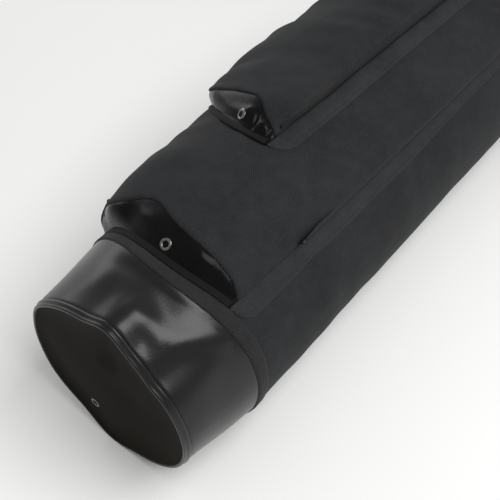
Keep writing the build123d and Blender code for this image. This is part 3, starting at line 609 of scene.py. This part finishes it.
class Pocket:
    """A raised pocket: a fabric face on a zipped near side, with leather and fabric ends."""

    def n_at(self, s):
        """How square the face's section is: rounded at the leather end, squarer along the zip."""
        return 3.0 + self.square * ease((s - self.firm_from) / self.firm_over)

    def rise(self, s, a):
        """Share of full height at a station, growing from the hood's edge."""
        q = np.clip((s - self.hood(a)) / HOOD_LENGTH, 0, 1)
        return self.low + (1 - self.low) * np.sin(q * np.pi / 2)

    def radius(self, s, a, t, h):
        """Radius of the face, t across the pocket and h up its rounded section."""
        e = np.clip((s - (self.end - END_LENGTH)) / END_LENGTH, 0, 1)
        closing = np.maximum(1 - e ** 2.6, 0) ** (1 / 2.2)
        sag = 1 + 0.035 * ripple(s, a, 21, 130) * ease(h * 2 - 0.4)
        sag = sag + 0.012 * ripple(s, a, 23, 45) * ease(h * 2 - 0.6)
        high = self.height(t) * h * self.rise(s, a) * closing * sag
        return self.base(s, a) + (high + self.hollows(s, a) * ease(h * 2 - 0.5))

    def surface(self, s, phi):
        """Angle and radius on the face at a station, phi running from the near foot to the far foot."""
        t, h = superellipse(phi, self.n_at(s))
        a = self.near + (self.far - self.near) * t
        return a, self.radius(s, a, t, h)

    def build_face(self, mat):
        phi = np.linspace(0, 1, 121)
        t0, _ = superellipse(phi, 3.0)
        a0 = self.near + (self.far - self.near) * t0
        s0 = self.hood(a0)
        middle = np.linspace(0.12, 0.94, 150)[1:]
        u = np.concatenate([np.linspace(0, 0.12, 26), middle, np.linspace(0.94, 1, 30)[1:]])
        S = s0[None, :] + (self.end - s0[None, :]) * u[:, None]
        P = np.broadcast_to(phi, S.shape)
        A, R = self.surface(S, P)
        hem_s = [3.0, 1.2, 0.0, -0.5, 0.0]
        hem_r = [-2.4, -2.3, -1.7, -0.8, -0.2]
        rows_s = [S[0] + d for d in hem_s]
        rows_r = [R[0] + d * np.clip((R[0] - self.base(S[0], A[0])) / 4, 0, 1) for d in hem_r]
        S = np.vstack([rows_s, S])
        R = np.vstack([rows_r, R])
        A = np.vstack([A[0]] * 5 + [A])
        steps = np.hypot(np.diff(R[80]), np.diff(np.radians(A[80])) * R[80][1:])
        girth = np.concatenate([[0], np.cumsum(steps)])
        uv = np.stack([S / 1000, np.broadcast_to(girth / 1000, S.shape)], -1)
        ob = grid(self.name + "_face_cloth", at(S, R, A), mat, uv, thick=1.1)
        self.girth = girth[-1]
        return ob

    def build_gusset(self, mat):
        """The glossy half-moon between the base seam and the face's edge, pushed out into bulges."""
        phi = np.linspace(0.0, 1, 121)
        t, h = superellipse(phi, 3.0)
        A0 = self.near + (self.far - self.near) * t
        s1 = self.hood(A0)
        A0, r1 = self.surface(s1, phi)
        s0 = self.seam(A0)
        r0 = self.base(s0, A0) + 0.5
        v = np.linspace(0, 1, 48)[:, None]
        flat = 5.0 / np.maximum(s1 - s0, 8)
        w = np.clip((v - flat) / (1 - flat), 0, 1)
        g = 0.02 + 0.98 * np.sin(w * np.pi / 2) ** 1.15
        S = s0 + (s1 + 1.8 - s0) * v
        A = np.broadcast_to(A0, S.shape)
        R = r0 + (r1 - 1.6 * np.clip(h * 2, 0, 1) - r0) * g
        puff = np.sin(np.pi * w) * ease(h * 1.4 - 0.2)
        R = R + puff * self.bulges(S, A)
        S = S - puff * 1.5
        ob = skin_over(self.name + "_end_leather", S, R, A, mat, thick=1.0)
        self.gusset_sr = (S, R, A)
        return ob

    def build_flange(self, mat, near_side=True):
        """The flat woven margin sewn to the case along one side, with a rounded lower corner."""
        edge = self.near + 0.6 if near_side else self.far - 0.6
        sign = -1 if near_side else 1
        s0 = float(self.seam(np.array(edge))) + (1.0 if near_side else 2.0)
        s = np.concatenate([s0 + 17 * np.linspace(0, 1, 16) ** 2, np.arange(s0 + 20, self.end + 15, 3.0)])
        corner = np.sqrt(np.clip(1 - ((s0 + 17 - s) / 17.5) ** 2, 0.01, 1))
        corner = np.where(s > s0 + 17, 1, corner)
        top = np.sqrt(np.clip(1 - ((s - self.end) / 15) ** 2, 0.01, 1))
        top = np.where(s < self.end, 1, top)
        wide = self.margin(s) * corner * top
        v = np.linspace(0, 1, 15)
        S = np.broadcast_to(s[:, None], (len(s), 15))
        A = edge + sign * wide[:, None] * v[None, :]
        V = v[None, :]
        R = self.base(S, A) + 0.15 + 1.5 * np.clip(1 - np.abs(2 * V - 1) ** 9, 0, 1) * corner[:, None] ** 0.5
        R = R + 0.7 * np.exp(-((V - 0.90) / 0.06) ** 2) - 0.5 * np.exp(-((V - 0.78) / 0.06) ** 2)
        side = "near" if near_side else "far"
        ob = skin_over(f"{self.name}_{side}_margin", S, R, A, mat, thick=0.9)
        stitched = [at(s[4:], R[4:, 11] + 0.1, A[4:, 11])]
        row = stitches(f"{self.name}_{side}_margin_stitching", stitched, THREAD)
        return ob, row


def zip_tape(pocket, side):
    """One woven tape in the near side wall, folded over its teeth so that only a slit shows."""
    s = np.arange(pocket.tape_from, pocket.end - 20, 3.0)
    dr = np.array([5.4, 4.8, 3.8, 2.75, 2.45, 2.1, 1.2, 0.45, 0.3, 0.3])
    out = np.array([0.0, 0.1, 0.2, 0.3, 0.8, 1.6, 1.85, 1.8, 1.5, 1.1])
    if side > 0:
        out[:3] = -2.4, -0.9, 0.0
    S = np.broadcast_to(s[:, None], (len(s), len(dr)))
    top = pocket.base(S, pocket.near) + 0.9 * pocket.height(0) * pocket.rise(S, np.array(pocket.near))
    R = np.minimum(pocket.zip_r + side * dr[None, :] + 0 * S, top)
    opening = 0.12 + 0.88 * ease((S - pocket.tape_from) / 26)
    A = pocket.near - np.degrees(out[None, :] * opening / R)
    name = f"{pocket.name}_zip_tape_{'low' if side < 0 else 'high'}"
    return grid(name, at(S, R, A), ZIP_TAPE, np.stack([S, R], -1) / 1000, thick=0.3)


def zip_teeth(pocket):
    """Two rows of moulded teeth in the near side wall."""
    verts, faces = [], []
    out = 1.3
    block = ((-0.7, 0.2, 0), (0.7, 0.2, 0), (0.7, 2.2, 0), (-0.7, 2.2, 0),
             (-0.5, -0.35, out), (0.5, -0.35, out), (0.5, 1.9, out), (-0.5, 1.9, out))
    for i in range(int((pocket.zip_to - pocket.zip_from - 6) / TOOTH_STEP)):
        for side in (-1, 1):
            s0 = pocket.zip_from + 4 + i * TOOTH_STEP + (0 if side < 0 else TOOTH_STEP / 2)
            corners = []
            for ds, dr, do in block:
                r = pocket.zip_r + side * dr
                corners.append(at(s0 + ds, r, pocket.near - math.degrees(do / r)))
            add_box(verts, faces, corners)
    teeth = make(f"{pocket.name}_zip_teeth_rows", verts, faces, NYLON, smooth=False)
    outward(teeth.data)
    return teeth


class BigPocket(Pocket):
    key, name = "big", "big_pocket"
    near, far, end = 49.5, 152.0, 800.0
    low, hole = 0.72, 88.8
    zip_r, zip_from, zip_to = 101.3, 155.0, 772.0
    square, firm_from, firm_over, tape_from = 6.0, 125, 130, 152

    def height(self, t):
        return 17 + 17 * t

    def base(self, s, a):
        return body_r(s, a) + 0.6

    def seam(self, a):
        return tape_high(a) + 0.3

    def hood(self, a):
        return (88.5 + 12.5 * bump(0, a, 0, 107, 1, 13) - 4 * bump(0, a, 0, 49.5, 1, 5)
                + 6 * bump(0, a, 0, 142, 1, 8))

    def margin(self, s):
        return 12.6 - 2.6 * ease((s - 310) / 120) - 1.0 * bump(s, 0, 165, 0, 14, 1)

    def hollows(self, s, a):
        return (-3.4 * bump(s, a, 415, 70, 26, 8) + 2.6 * fold(s, a, 395, 84, 470, 62, 6)
                + 2.4 * fold(s, a, 430, 74, 448, 56, 4.5) - 1.0 * bump(s, a, 205, 66, 26, 9)
                - 0.9 * bump(s, a, 300, 76, 34, 6) + 0.9 * fold(s, a, 120, 72, 200, 92, 14))

    def bulges(self, s, a):
        return (3.0 * bump(s, a, 84, 103, 9, 8) + 2.2 * bump(s, a, 84, 73, 7, 7)
                + 2.4 * bump(s, a, 84, 128, 9, 9) - 2.0 * bump(s, a, 82, 88, 12, 5)
                - 1.2 * bump(s, a, 84, 64, 8, 4) - 1.0 * bump(s, a, 88, 116, 8, 5))


class SmallPocket(Pocket):
    key, name = "small", "small_pocket"
    near, far, end = 88.5, 143.0, 620.0
    low, hole = 0.62, 109.5
    zip_r, zip_from, zip_to = 123.7, 240.0, 592.0
    square, firm_from, firm_over, tape_from = 6.0, 203, 40, 210

    def height(self, t):
        return 15 + 9 * t

    def base(self, s, a):
        return big_surface_r(s, a) + 0.3

    def seam(self, a):
        return 190.6 + 42 * (np.maximum(a - 92, 0) / 46) ** 2 + 9 * np.clip((90 - a) / 9, 0, 1.2) ** 2

    def hood(self, a):
        return 202.5 + 0.98 * (a - 87)

    def margin(self, s):
        return 9.9 + 0 * s

    def hollows(self, s, a):
        return -1.4 * bump(s, a, 262, 100, 16, 6) + 1.0 * fold(s, a, 250, 112, 330, 122, 12)

    def bulges(self, s, a):
        return (3.4 * bump(s, a, 203, 94, 5, 3.2) + 3.4 * bump(s, a, 210, 104, 5, 3.0)
                + 2.8 * bump(s, a, 226, 124, 8, 5) - 3.0 * fold(s, a, 194, 98, 214, 99, 2.6, 122)
                - 2.6 * fold(s, a, 198, 112, 224, 113, 3.2, 122)
                - 1.8 * fold(s, a, 194, 91, 208, 91, 2.0, 120) + 1.8 * bump(s, a, 222, 134, 8, 3))


big = BigPocket()
small = SmallPocket()


def big_surface_r(s, a):
    """Radius of the big pocket's face at a station and angle."""
    t = np.clip((a - big.near) / (big.far - big.near), 0, 1)
    n = big.n_at(s)
    h = np.clip(1 - np.abs(2 * t - 1) ** n, 0, 1) ** (1 / n)
    return big.radius(s, a, t, h)


# a rolled fold of leather at the big pocket's far lower corner
curl_t = np.linspace(0, 0.7, 18)
curl_s = 96 - 7 * curl_t + 1.5 * np.sin(curl_t * 5)
curl_a = 137 + 9.5 * curl_t ** 1.3
curl_r = 112.0 - 13.5 * curl_t ** 1.5
curl = tube("big_pocket_corner_fold", at(curl_s, curl_r, curl_a), 2.3, POCKET_LEATHER)


def foot_crease_shadow_cord(pocket):
    """Thin very dark cord along the near foot, where the face meets its margin: painted shadow of the crease
    there.
    """
    s = np.arange(float(pocket.hood(np.array(pocket.near))) + 2, pocket.end - 6, 6.0)
    a = pocket.near + 0.35
    ob = tube(f"{pocket.key}_foot_seam", at(s, pocket.base(s, a) + 1.5, a), 0.9, SEAM_AND_CREASE_SHADOW)
    return ob


def drain_hole(pocket, row):
    """Eyelet through the leather end, square to the leather around it."""
    S, R, A = pocket.gusset_sr
    P = at(S, R, A)
    j = int(np.argmin(np.abs(A[0] - pocket.hole)))
    normal = np.cross(P[row + 2, j] - P[row - 2, j], P[row, j + 2] - P[row, j - 2])
    normal *= -1 if normal[0] > 0 else 1
    normal /= np.linalg.norm(normal)
    return eyelet(f"{pocket.key}_drain_eyelet", P[row, j] + normal * 0.0003, normal)


def end_seam(pocket):
    """Folded edge that joins the leather end to the case."""
    a = pocket.gusset_sr[2][0]
    a = a[(a > pocket.near + 0.8) & (a < pocket.far - 0.8)]
    v = np.linspace(0, 1, 9)[:, None]
    S = pocket.seam(a)[None, :] + 6.2 * v - 0.2
    A = np.broadcast_to(a, S.shape)
    R = pocket.base(S, A) + 0.5 + 1.0 * (1 - np.abs(2 * v - 1) ** 6)
    ob = skin_over(f"{pocket.key}_end_seam", S, R, A, SEAM_AND_CREASE_SHADOW, thick=0.8)
    return ob


def end_stitching(pocket):
    """Two rows of stitches across the foot of the leather end."""
    a = pocket.gusset_sr[2][0]
    a = a[(a > pocket.near + 2) & (a < pocket.far - 3)]
    rows = []
    for inset in (2.0, 4.6):
        s = pocket.seam(a) + inset
        rows.append(at(s, pocket.base(s, a) + 1.65, a))
    return stitches(f"{pocket.key}_end_stitching", rows, THREAD)


def build_pocket(pocket, hole_row):
    """Cloth, leather, zip and stitching of one pocket, resting on what lies under it."""
    key = pocket.key
    face = pocket.build_face(FABRIC_POCKET)
    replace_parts(face, f"{key}_face", f"{key}_wall_near", f"{key}_wall_far", f"{key}_top_gusset")
    end = pocket.build_gusset(POCKET_LEATHER)
    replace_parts(end, f"{key}_base_gusset")
    near, near_row = pocket.build_flange(STRIP, True)
    far, far_row = pocket.build_flange(STRIP, False)
    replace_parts(near, f"{key}_flange")
    foot = foot_crease_shadow_cord(pocket)
    low_tape = zip_tape(pocket, -1)
    high_tape = zip_tape(pocket, 1)
    teeth = zip_teeth(pocket)
    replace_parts(low_tape, f"{key}_zip_tapes")
    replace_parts(teeth, f"{key}_zip_teeth")
    ring = drain_hole(pocket, hole_row)
    if key == "big":
        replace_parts(ring, "pocket_eyelets", "pocket_washers")
    edge = end_seam(pocket)
    row = end_stitching(pocket)
    cut = (pocket.girth / 1000, (pocket.end - float(pocket.hood(np.array(80.0)))) / 1000)


build_pocket(big, 21)
build_pocket(small, 18)

# ---------- padding, mouth, lining and cap


def skin_line(s):
    """Radius of the case's skin without folds."""
    s = np.asarray(s, float)
    cup = 80.0 + (BODY_R - 80.0) * s / 70.0
    taper = BODY_R + (RIM_R - BODY_R) * np.clip((s - TAPER) / (MOUTH - TAPER), 0, 1)
    return np.where(s < 70, cup, taper)


def lining_r(s, a):
    """Inside of the lining, with loose cloth's faint waves."""
    slack = np.abs(ripple(s, a, 31, 90)) * ease((s - 20) / 60) * ease((960 - s) / 60)
    return skin_line(s) - 10.1 - 0.5 * slack


def turned_in(name, stations, radii, body):
    """Closed tube of lining through (station, radius) rows that may fold back on themselves."""
    S = all_round(stations)
    A = np.broadcast_to(AROUND, S.shape)
    R = radii if radii.ndim == 2 else all_round(radii)
    length = np.concatenate([[0], np.cumsum(np.hypot(np.diff(stations), np.diff(R[:, 0])))])
    uv = np.stack([np.broadcast_to(length[:, None] / 1000, S.shape), np.radians(A) * 0.08], -1)
    return grid(name, at(S, R, A), LINING, uv, wrap=True, thick=0.7, body=body)


def padding_ring(name, node_name, stations, outer, inner, body):
    """Closed ring of foam between an outer and an inner radius."""
    S = all_round(np.concatenate([stations, stations[::-1], stations[:1]]))
    A = np.broadcast_to(AROUND, S.shape)
    R = outer(S, A)
    back = slice(len(stations), -1)
    R[back] = inner(S[back])
    ob = skin_over(name, S, R, A, FOAM, wrap=True, body=body)
    outward(ob.data)
    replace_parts(ob, node_name)


def padding_r(s, a):
    """Outside of the wall padding, just under whatever skin covers it."""
    return np.where(s > 976, np.minimum(shell_r(s, a), 81.0), shell_r(s, a)) - 1.7


def padding_in(s):
    return skin_line(s) - 9.1


wall_s = np.concatenate([np.linspace(3.6, 12, 8), np.arange(16, 976, 6.0), [979.0]])
padding_ring("wall_padding", "wall_foam", wall_s, padding_r, padding_in, "case")
board_f = np.array([0.01, 0.5, 0.98, 1.0, 1.0, 0.98, 0.5, 0.01])
B_A = np.broadcast_to(AROUND, (8, len(AROUND)))
B_S = all_round([6.0, 6.0, 6.0, 6.3, 8.2, 8.5, 8.5, 8.5])
board = grid("base_board", at(B_S, board_f[:, None] * (rim(B_A) - 6.5), B_A), BOARD, None, wrap=True)
outward(board.data)
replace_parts(board, "base_stiffener")

s_in = np.arange(15.0, 978, 8.0)
S2 = all_round(s_in)
R2 = lining_r(S2, np.broadcast_to(AROUND, S2.shape))
lip_s = np.array([979.0, 983.0, 986.5, 987.8, 988.2, 988.2, 987.9])
lip_r = np.array([70.9, 70.8, 70.9, 71.6, 73.5, 77.5, 79.9])
bottom_r = np.array([0.6, 20.0, 40.0, 55.0, 65.0, 70.0, 71.6])
all_s = np.concatenate([np.full(7, 14.2), s_in, lip_s])
all_r = np.vstack([all_round(bottom_r), R2, all_round(lip_r)])
lining = turned_in("lining_cloth", all_s, all_r, "case")
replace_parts(lining, "lining")

cap_wall_s = np.arange(997, 1047, 5.0)
cap_in_s = np.concatenate([[993.3, 993.0, 993.0, 993.3, 994.2], cap_wall_s, np.full(6, 1047.6)])
cap_in_r = np.concatenate([[79.9, 77.5, 73.5, 71.6, 70.9], 70.6 - 0.035 * (cap_wall_s - 997),
                           [68.6, 62.0, 48.0, 32.0, 14.0, 0.6]])
cap_in = turned_in("cap_lining_cloth", cap_in_s, cap_in_r, "cap")
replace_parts(cap_in, "cap_lining")


def cap_r(s, a):
    """Radius of the cap's leather, with soft dents and a seam ridge beside its piping."""
    r = RIM_R + (CAP_R - RIM_R) * (s - CAP_TAPE_END) / (CAP_END - CAP_TAPE_END)
    inner = ease((s - 1003) / 10) * ease((1056 - s) / 8)
    dents = 0.9 * ripple(s, a, 41, 70) + 1.3 * fold(s, a, 1012, 60, 1050, 96, 8)
    dents = dents - 1.5 * bump(s, a, 1032, 110, 13, 12)
    seam = 1.1 * np.exp(-((s - 1057.4) / 1.35) ** 2) - 0.8 * np.exp(-((s - 1055.0) / 1.0) ** 2)
    return r + dents * inner + seam + 0.2


def mouth_band(name, s0, s1, r, body):
    """Woven tape round the mouth, leaving the hinge free."""
    a = np.linspace(180 + HINGE_HALF - 1, 540 - HINGE_HALF + 1, 200)
    v = np.linspace(0, 1, 11)[:, None]
    S = s0 + (s1 - s0) * v + 0 * a[None, :]
    A = np.broadcast_to(a, S.shape)
    R = r + 1.2 * (1 - np.abs(2 * v - 1) ** 8) + 0.06 * np.sin(np.radians(A) * 160)
    return skin_over(name, S, R, A, TAPE, thick=0.9, body=body)


def cap_padding_out(s, a):
    return np.where(s < 1004, 79.6, cap_r(s, a) - 1.8)


def cap_padding_in(s):
    return 71.8 - 0.035 * (s - 997)


padding_ring("cap_padding", "cap_foam", np.arange(994.5, 1058, 3.0), cap_padding_out, cap_padding_in, "cap")
mouth = mouth_band("mouth_zip_tape", 976.5, 988.4, 80.6, "case")
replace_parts(mouth, "mouth_tape")
cap_band = mouth_band("cap_zip_tape", 992.6, 1004.0, 80.5, "cap")
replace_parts(cap_band, "cap_tape")
whole_turn = np.linspace(180 + HINGE_HALF, 540 - HINGE_HALF, 400)
mouth_row = stitches("mouth_tape_stitching", [at(s, 81.95, whole_turn) for s in (978.6, 982.2)], THREAD)
stitches("cap_tape_stitching", [at(s, 81.85, whole_turn) for s in (998.6, 1002.0)], THREAD, body="cap")


def mouth_teeth(name, body, station, towards):
    """One row of moulded teeth round the mouth, leaving the hinge free."""
    verts, faces = [], []
    turn = math.degrees(TOOTH_STEP / RIM_R)
    for i in range(int((360 - 2 * HINGE_HALF) / turn)):
        a0 = 180 + HINGE_HALF + (i + (0.25 if towards > 0 else 0.75)) * turn
        corners = []
        for out, half, reach in ((0.0, 0.85, 2.2), (1.5, 0.6, 2.0)):
            for ds, da in ((0.0, -half), (0.0, half), (reach, half), (reach, -half)):
                corners.append(at(station + towards * ds, 80.2 + out, a0 + math.degrees(da / RIM_R)))
        add_box(verts, faces, corners)
    ob = make(name, verts, faces, NYLON, body=body, smooth=False)
    outward(ob.data)
    return ob


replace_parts(mouth_teeth("mouth_zip_teeth", "case", 988.1, 1), "mouth_teeth")
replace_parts(mouth_teeth("cap_zip_teeth", "cap", 992.8, -1), "cap_teeth")

hinge_a = np.linspace(180 - HINGE_HALF + 1.5, 180 + HINGE_HALF, 33)
HINGE_FROM = 972
HINGE_LONG = 36
hinge_s = np.linspace(HINGE_FROM, HINGE_FROM + HINGE_LONG, 37)
HS, HA = np.meshgrid(hinge_s, hinge_a, indexing="ij")
edge = 1 - np.abs(2 * (HS - HINGE_FROM) / HINGE_LONG - 1) ** 10
edge = edge * (1 - np.minimum(np.abs((HA - 180) / HINGE_HALF), 1) ** 10)
clear_of_pull = ease((HA - 170) / 6)
HR = np.maximum(skin_line(np.minimum(HS, 980)), RIM_R) - 0.4
HR = HR + 0.6 * clear_of_pull + 1.2 * edge * clear_of_pull
hinge = skin_over("hinge_cloth", HS, HR, HA, WEBBING, thick=1.0, body=None)
at(984.5, 82.0, 180.0)
at(996.5, 82.0, 180.0)
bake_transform(hinge)
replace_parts(hinge, "hinge_flap", "cap_flap")


cap_rows = np.concatenate([np.arange(1000, 1052, 2.0), np.arange(1052, 1061.6, 0.6)])
cap_leather = tube_side("cap_leather", cap_rows, cap_r, CUP, 1.1, body="cap")
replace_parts(cap_leather, "cap_shell")
cord_path = at(CAP_END + 0.2 + 0 * ringed, CAP_R - 0.3, ringed)
cord = tube("cap_piping_cord", cord_path, 2.0, CUP, "cap", 14, True)
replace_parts(cord, "cap_piping")


def cap_disc_s(f, a):
    """Station of the cap disc's skin: a shallow dish with faint waves."""
    x, y = f * np.cos(np.radians(a)), f * np.sin(np.radians(a))
    waves = 0.5 * np.sin(3 * x + 1) * np.sin(3.4 * y)
    return CAP_END + 0.7 - 2.2 * (1 - f ** 7) + waves * (1 - f ** 6)


cap_disc = end_disc("cap_disc_leather", 40, CAP_R - 1.8, cap_disc_s, "cap")
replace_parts(cap_disc, "cap_disc")

# ---------- webbing, grip and metal fittings


def flat_uv(ob):
    """Weave coordinates in metres, along the case and round it."""
    co = np.array([v.co for v in ob.data.vertices]).reshape(-1, 3)
    set_uv(ob.data, np.stack([co[:, 0], co[:, 2] + co[:, 1]], -1))


def copy_of(node_name, name):
    """A free copy of a CAD node's shape."""
    ob = bpy.data.objects.new(name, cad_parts[node_name].data.copy())
    bpy.context.scene.collection.objects.link(ob)
    return ob


def dress(me, mat):
    """One material and smooth shading for a whole mesh."""
    me.materials.clear()
    me.materials.append(mat)
    me.polygons.foreach_set("use_smooth", [True] * len(me.polygons))


def softened(name, node_name, mat, voxel, smooth, body, puff=None):
    """A soft piece made from a CAD node's own shape: rounded edges and an uneven surface."""
    ob = copy_of(node_name, name)
    m = ob.modifiers.new("remesh", "REMESH")
    m.mode = "VOXEL"
    m.voxel_size = voxel / 1000
    m = ob.modifiers.new("smooth", "SMOOTH")
    m.factor = 0.5
    m.iterations = smooth
    bake(ob)
    me = ob.data
    co = np.array([v.co for v in me.vertices]).reshape(-1, 3)
    no = np.array([v.normal for v in me.vertices]).reshape(-1, 3)
    d = 0.10 * np.sin(co[:, 0] * 700) * np.sin((co[:, 1] + co[:, 2]) * 650)
    if puff is not None:
        d = d + puff(co * 1000, no)
    co = co + no * d[:, None] / 1000
    me.vertices.foreach_set("co", co.astype(np.float32).ravel())
    dress(me, mat)
    flat_uv(ob)
    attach(ob, body)
    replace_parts(ob, node_name)
    return ob


def grip_puff(co, no):
    """The grip's padding swells between its sewn edges."""
    flat = np.abs(no[:, 1]) ** 2
    mid = np.exp(-((co[:, 2] - 40) / 9) ** 2)
    quilt = 0.25 * np.sin(co[:, 0] / 9)
    return flat * (0.9 * mid + quilt + 0.5)


tabs = softened("handle_tabs_webbing", "handle_tabs", WEBBING, 0.7, 4, "case")
ring_tabs = softened("d_ring_tabs_webbing", "d_ring_tabs", WEBBING, 0.7, 4, "case")
straps = softened("handle_straps_webbing", "handle_straps", WEBBING, 0.7, 4, "handle")
grip = softened("grip_padding", "grip_cover", WEBBING, 1.3, 6, "handle", grip_puff)
HIDDEN_PADS = (("base_padding", "base_foam", "case"), ("cap_end_padding", "cap_pad", "cap"),
               ("grip_filling", "grip_core", "handle"))
for label, node_name, body in HIDDEN_PADS:
    pad = softened(label, node_name, FOAM, 1.8, 8, body)


def hardened(node_name, mat, width, body):
    """A moulded or cast piece made from a CAD node's own shape, with its sharp edges rounded."""
    ob = copy_of(node_name, node_name + "_cast")
    bm = bmesh.new()
    bm.from_mesh(ob.data)
    bmesh.ops.remove_doubles(bm, verts=bm.verts, dist=1e-6)
    bmesh.ops.dissolve_limit(bm, angle_limit=math.radians(2), verts=bm.verts, edges=bm.edges)
    bm.to_mesh(ob.data)
    bm.free()
    m = ob.modifiers.new("bevel", "BEVEL")
    m.width = width / 1000
    m.segments = 3
    m.limit_method = "ANGLE"
    m.angle_limit = math.radians(40)
    m.use_clamp_overlap = True
    bake(ob)
    dress(ob.data, mat)
    ob.data.set_sharp_from_angle(angle=math.radians(50))
    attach(ob, body)
    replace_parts(ob, node_name)
    return ob


for zip_name in ("big", "small", "cap"):
    hardened(f"{zip_name}_slider", BLACK_METAL, 0.25, f"{zip_name}_slider")
    hardened(f"{zip_name}_pull", BLACK_METAL, 0.35, f"{zip_name}_pull")
hardened("zip_end_stops", BLACK_METAL, 0.2, "case")

for node_name in ("handle_rings", "base_d_ring", "top_d_ring"):
    dress(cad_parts[node_name].data, NICKEL)
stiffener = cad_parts["cap_stiffener"].data
stiffener.materials.clear()
stiffener.materials.append(BOARD)


def box_stitch(x):
    """Box and cross stitching that holds a webbing tab on."""
    a0 = 176.5
    a1 = 160.5
    half = 10.5
    r = 94.9
    low = x - BASE_X - half
    high = x - BASE_X + half
    corners = [(low, a0), (high, a0), (high, a1), (low, a1), (low, a0), (high, a1)]
    path = []
    for (s0, b0), (s1, b1) in zip(corners, corners[1:]):
        t = np.linspace(0, 1, 14)
        path.append(at(s0 + (s1 - s0) * t, r, b0 + (b1 - b0) * t))
    return np.vstack(path)


tab_row = stitches("tab_stitching", [box_stitch(x) for x in (-330, -80, 80, 330)], THREAD)

# ---------- floor, light and camera
floor_mat, nt, b = new_mat("white studio floor")
tc = nt.nodes.new("ShaderNodeTexCoord")
cloud = noise(nt, tc.outputs["Object"], 3.0, 3.0)
nt.links.new(mix_colour(nt, cloud, (0.90, 0.90, 0.89), (0.93, 0.93, 0.92)), b.inputs["Base Color"])
b.inputs["Roughness"].default_value = 0.9
b.inputs["Specular IOR Level"].default_value = 0.1
bpy.ops.mesh.primitive_plane_add(size=14, location=(0, 0, 0))
floor = bpy.context.object
floor.name = "studio_floor"
floor.data.materials.append(floor_mat)

world = bpy.data.worlds.new("studio")
world.use_nodes = True
bpy.context.scene.world = world
sky = world.node_tree.nodes["Background"]
sky.inputs[0].default_value = (1.0, 1.0, 1.0, 1)
sky.inputs[1].default_value = 0.48


def softbox(name, place, target, size, power, tint=(1, 1, 1)):
    light = bpy.data.lights.new(name, "AREA")
    light.shape = "RECTANGLE"
    light.size, light.size_y = size
    light.energy = power
    light.color = tint
    ob = bpy.data.objects.new(name, light)
    ob.location = place
    ob.rotation_euler = (Vector(target) - Vector(place)).to_track_quat("-Z", "Y").to_euler()
    bpy.context.scene.collection.objects.link(ob)
    return ob


softbox("overhead", (-0.25, -0.85, 1.5), (-0.45, 0, 0.1), (1.2, 1.0), 22)
softbox("side", (0.35, 1.75, 0.65), (-0.4, 0, 0.1), (1.8, 0.8), 7)

cam_data = bpy.data.cameras.new("camera")
cam_data.lens = 54
cam_data.sensor_width = 36
cam_data.clip_start, cam_data.clip_end = 0.02, 50
cam = bpy.data.objects.new("camera", cam_data)
cam.location = (-0.7078, -0.2813, 0.5810)
cam.rotation_euler = (math.radians(90 - 47.16), 0, math.radians(-51.33))
bpy.context.scene.collection.objects.link(cam)
bpy.context.scene.camera = cam
bpy.context.scene.view_settings.view_transform = "Standard"
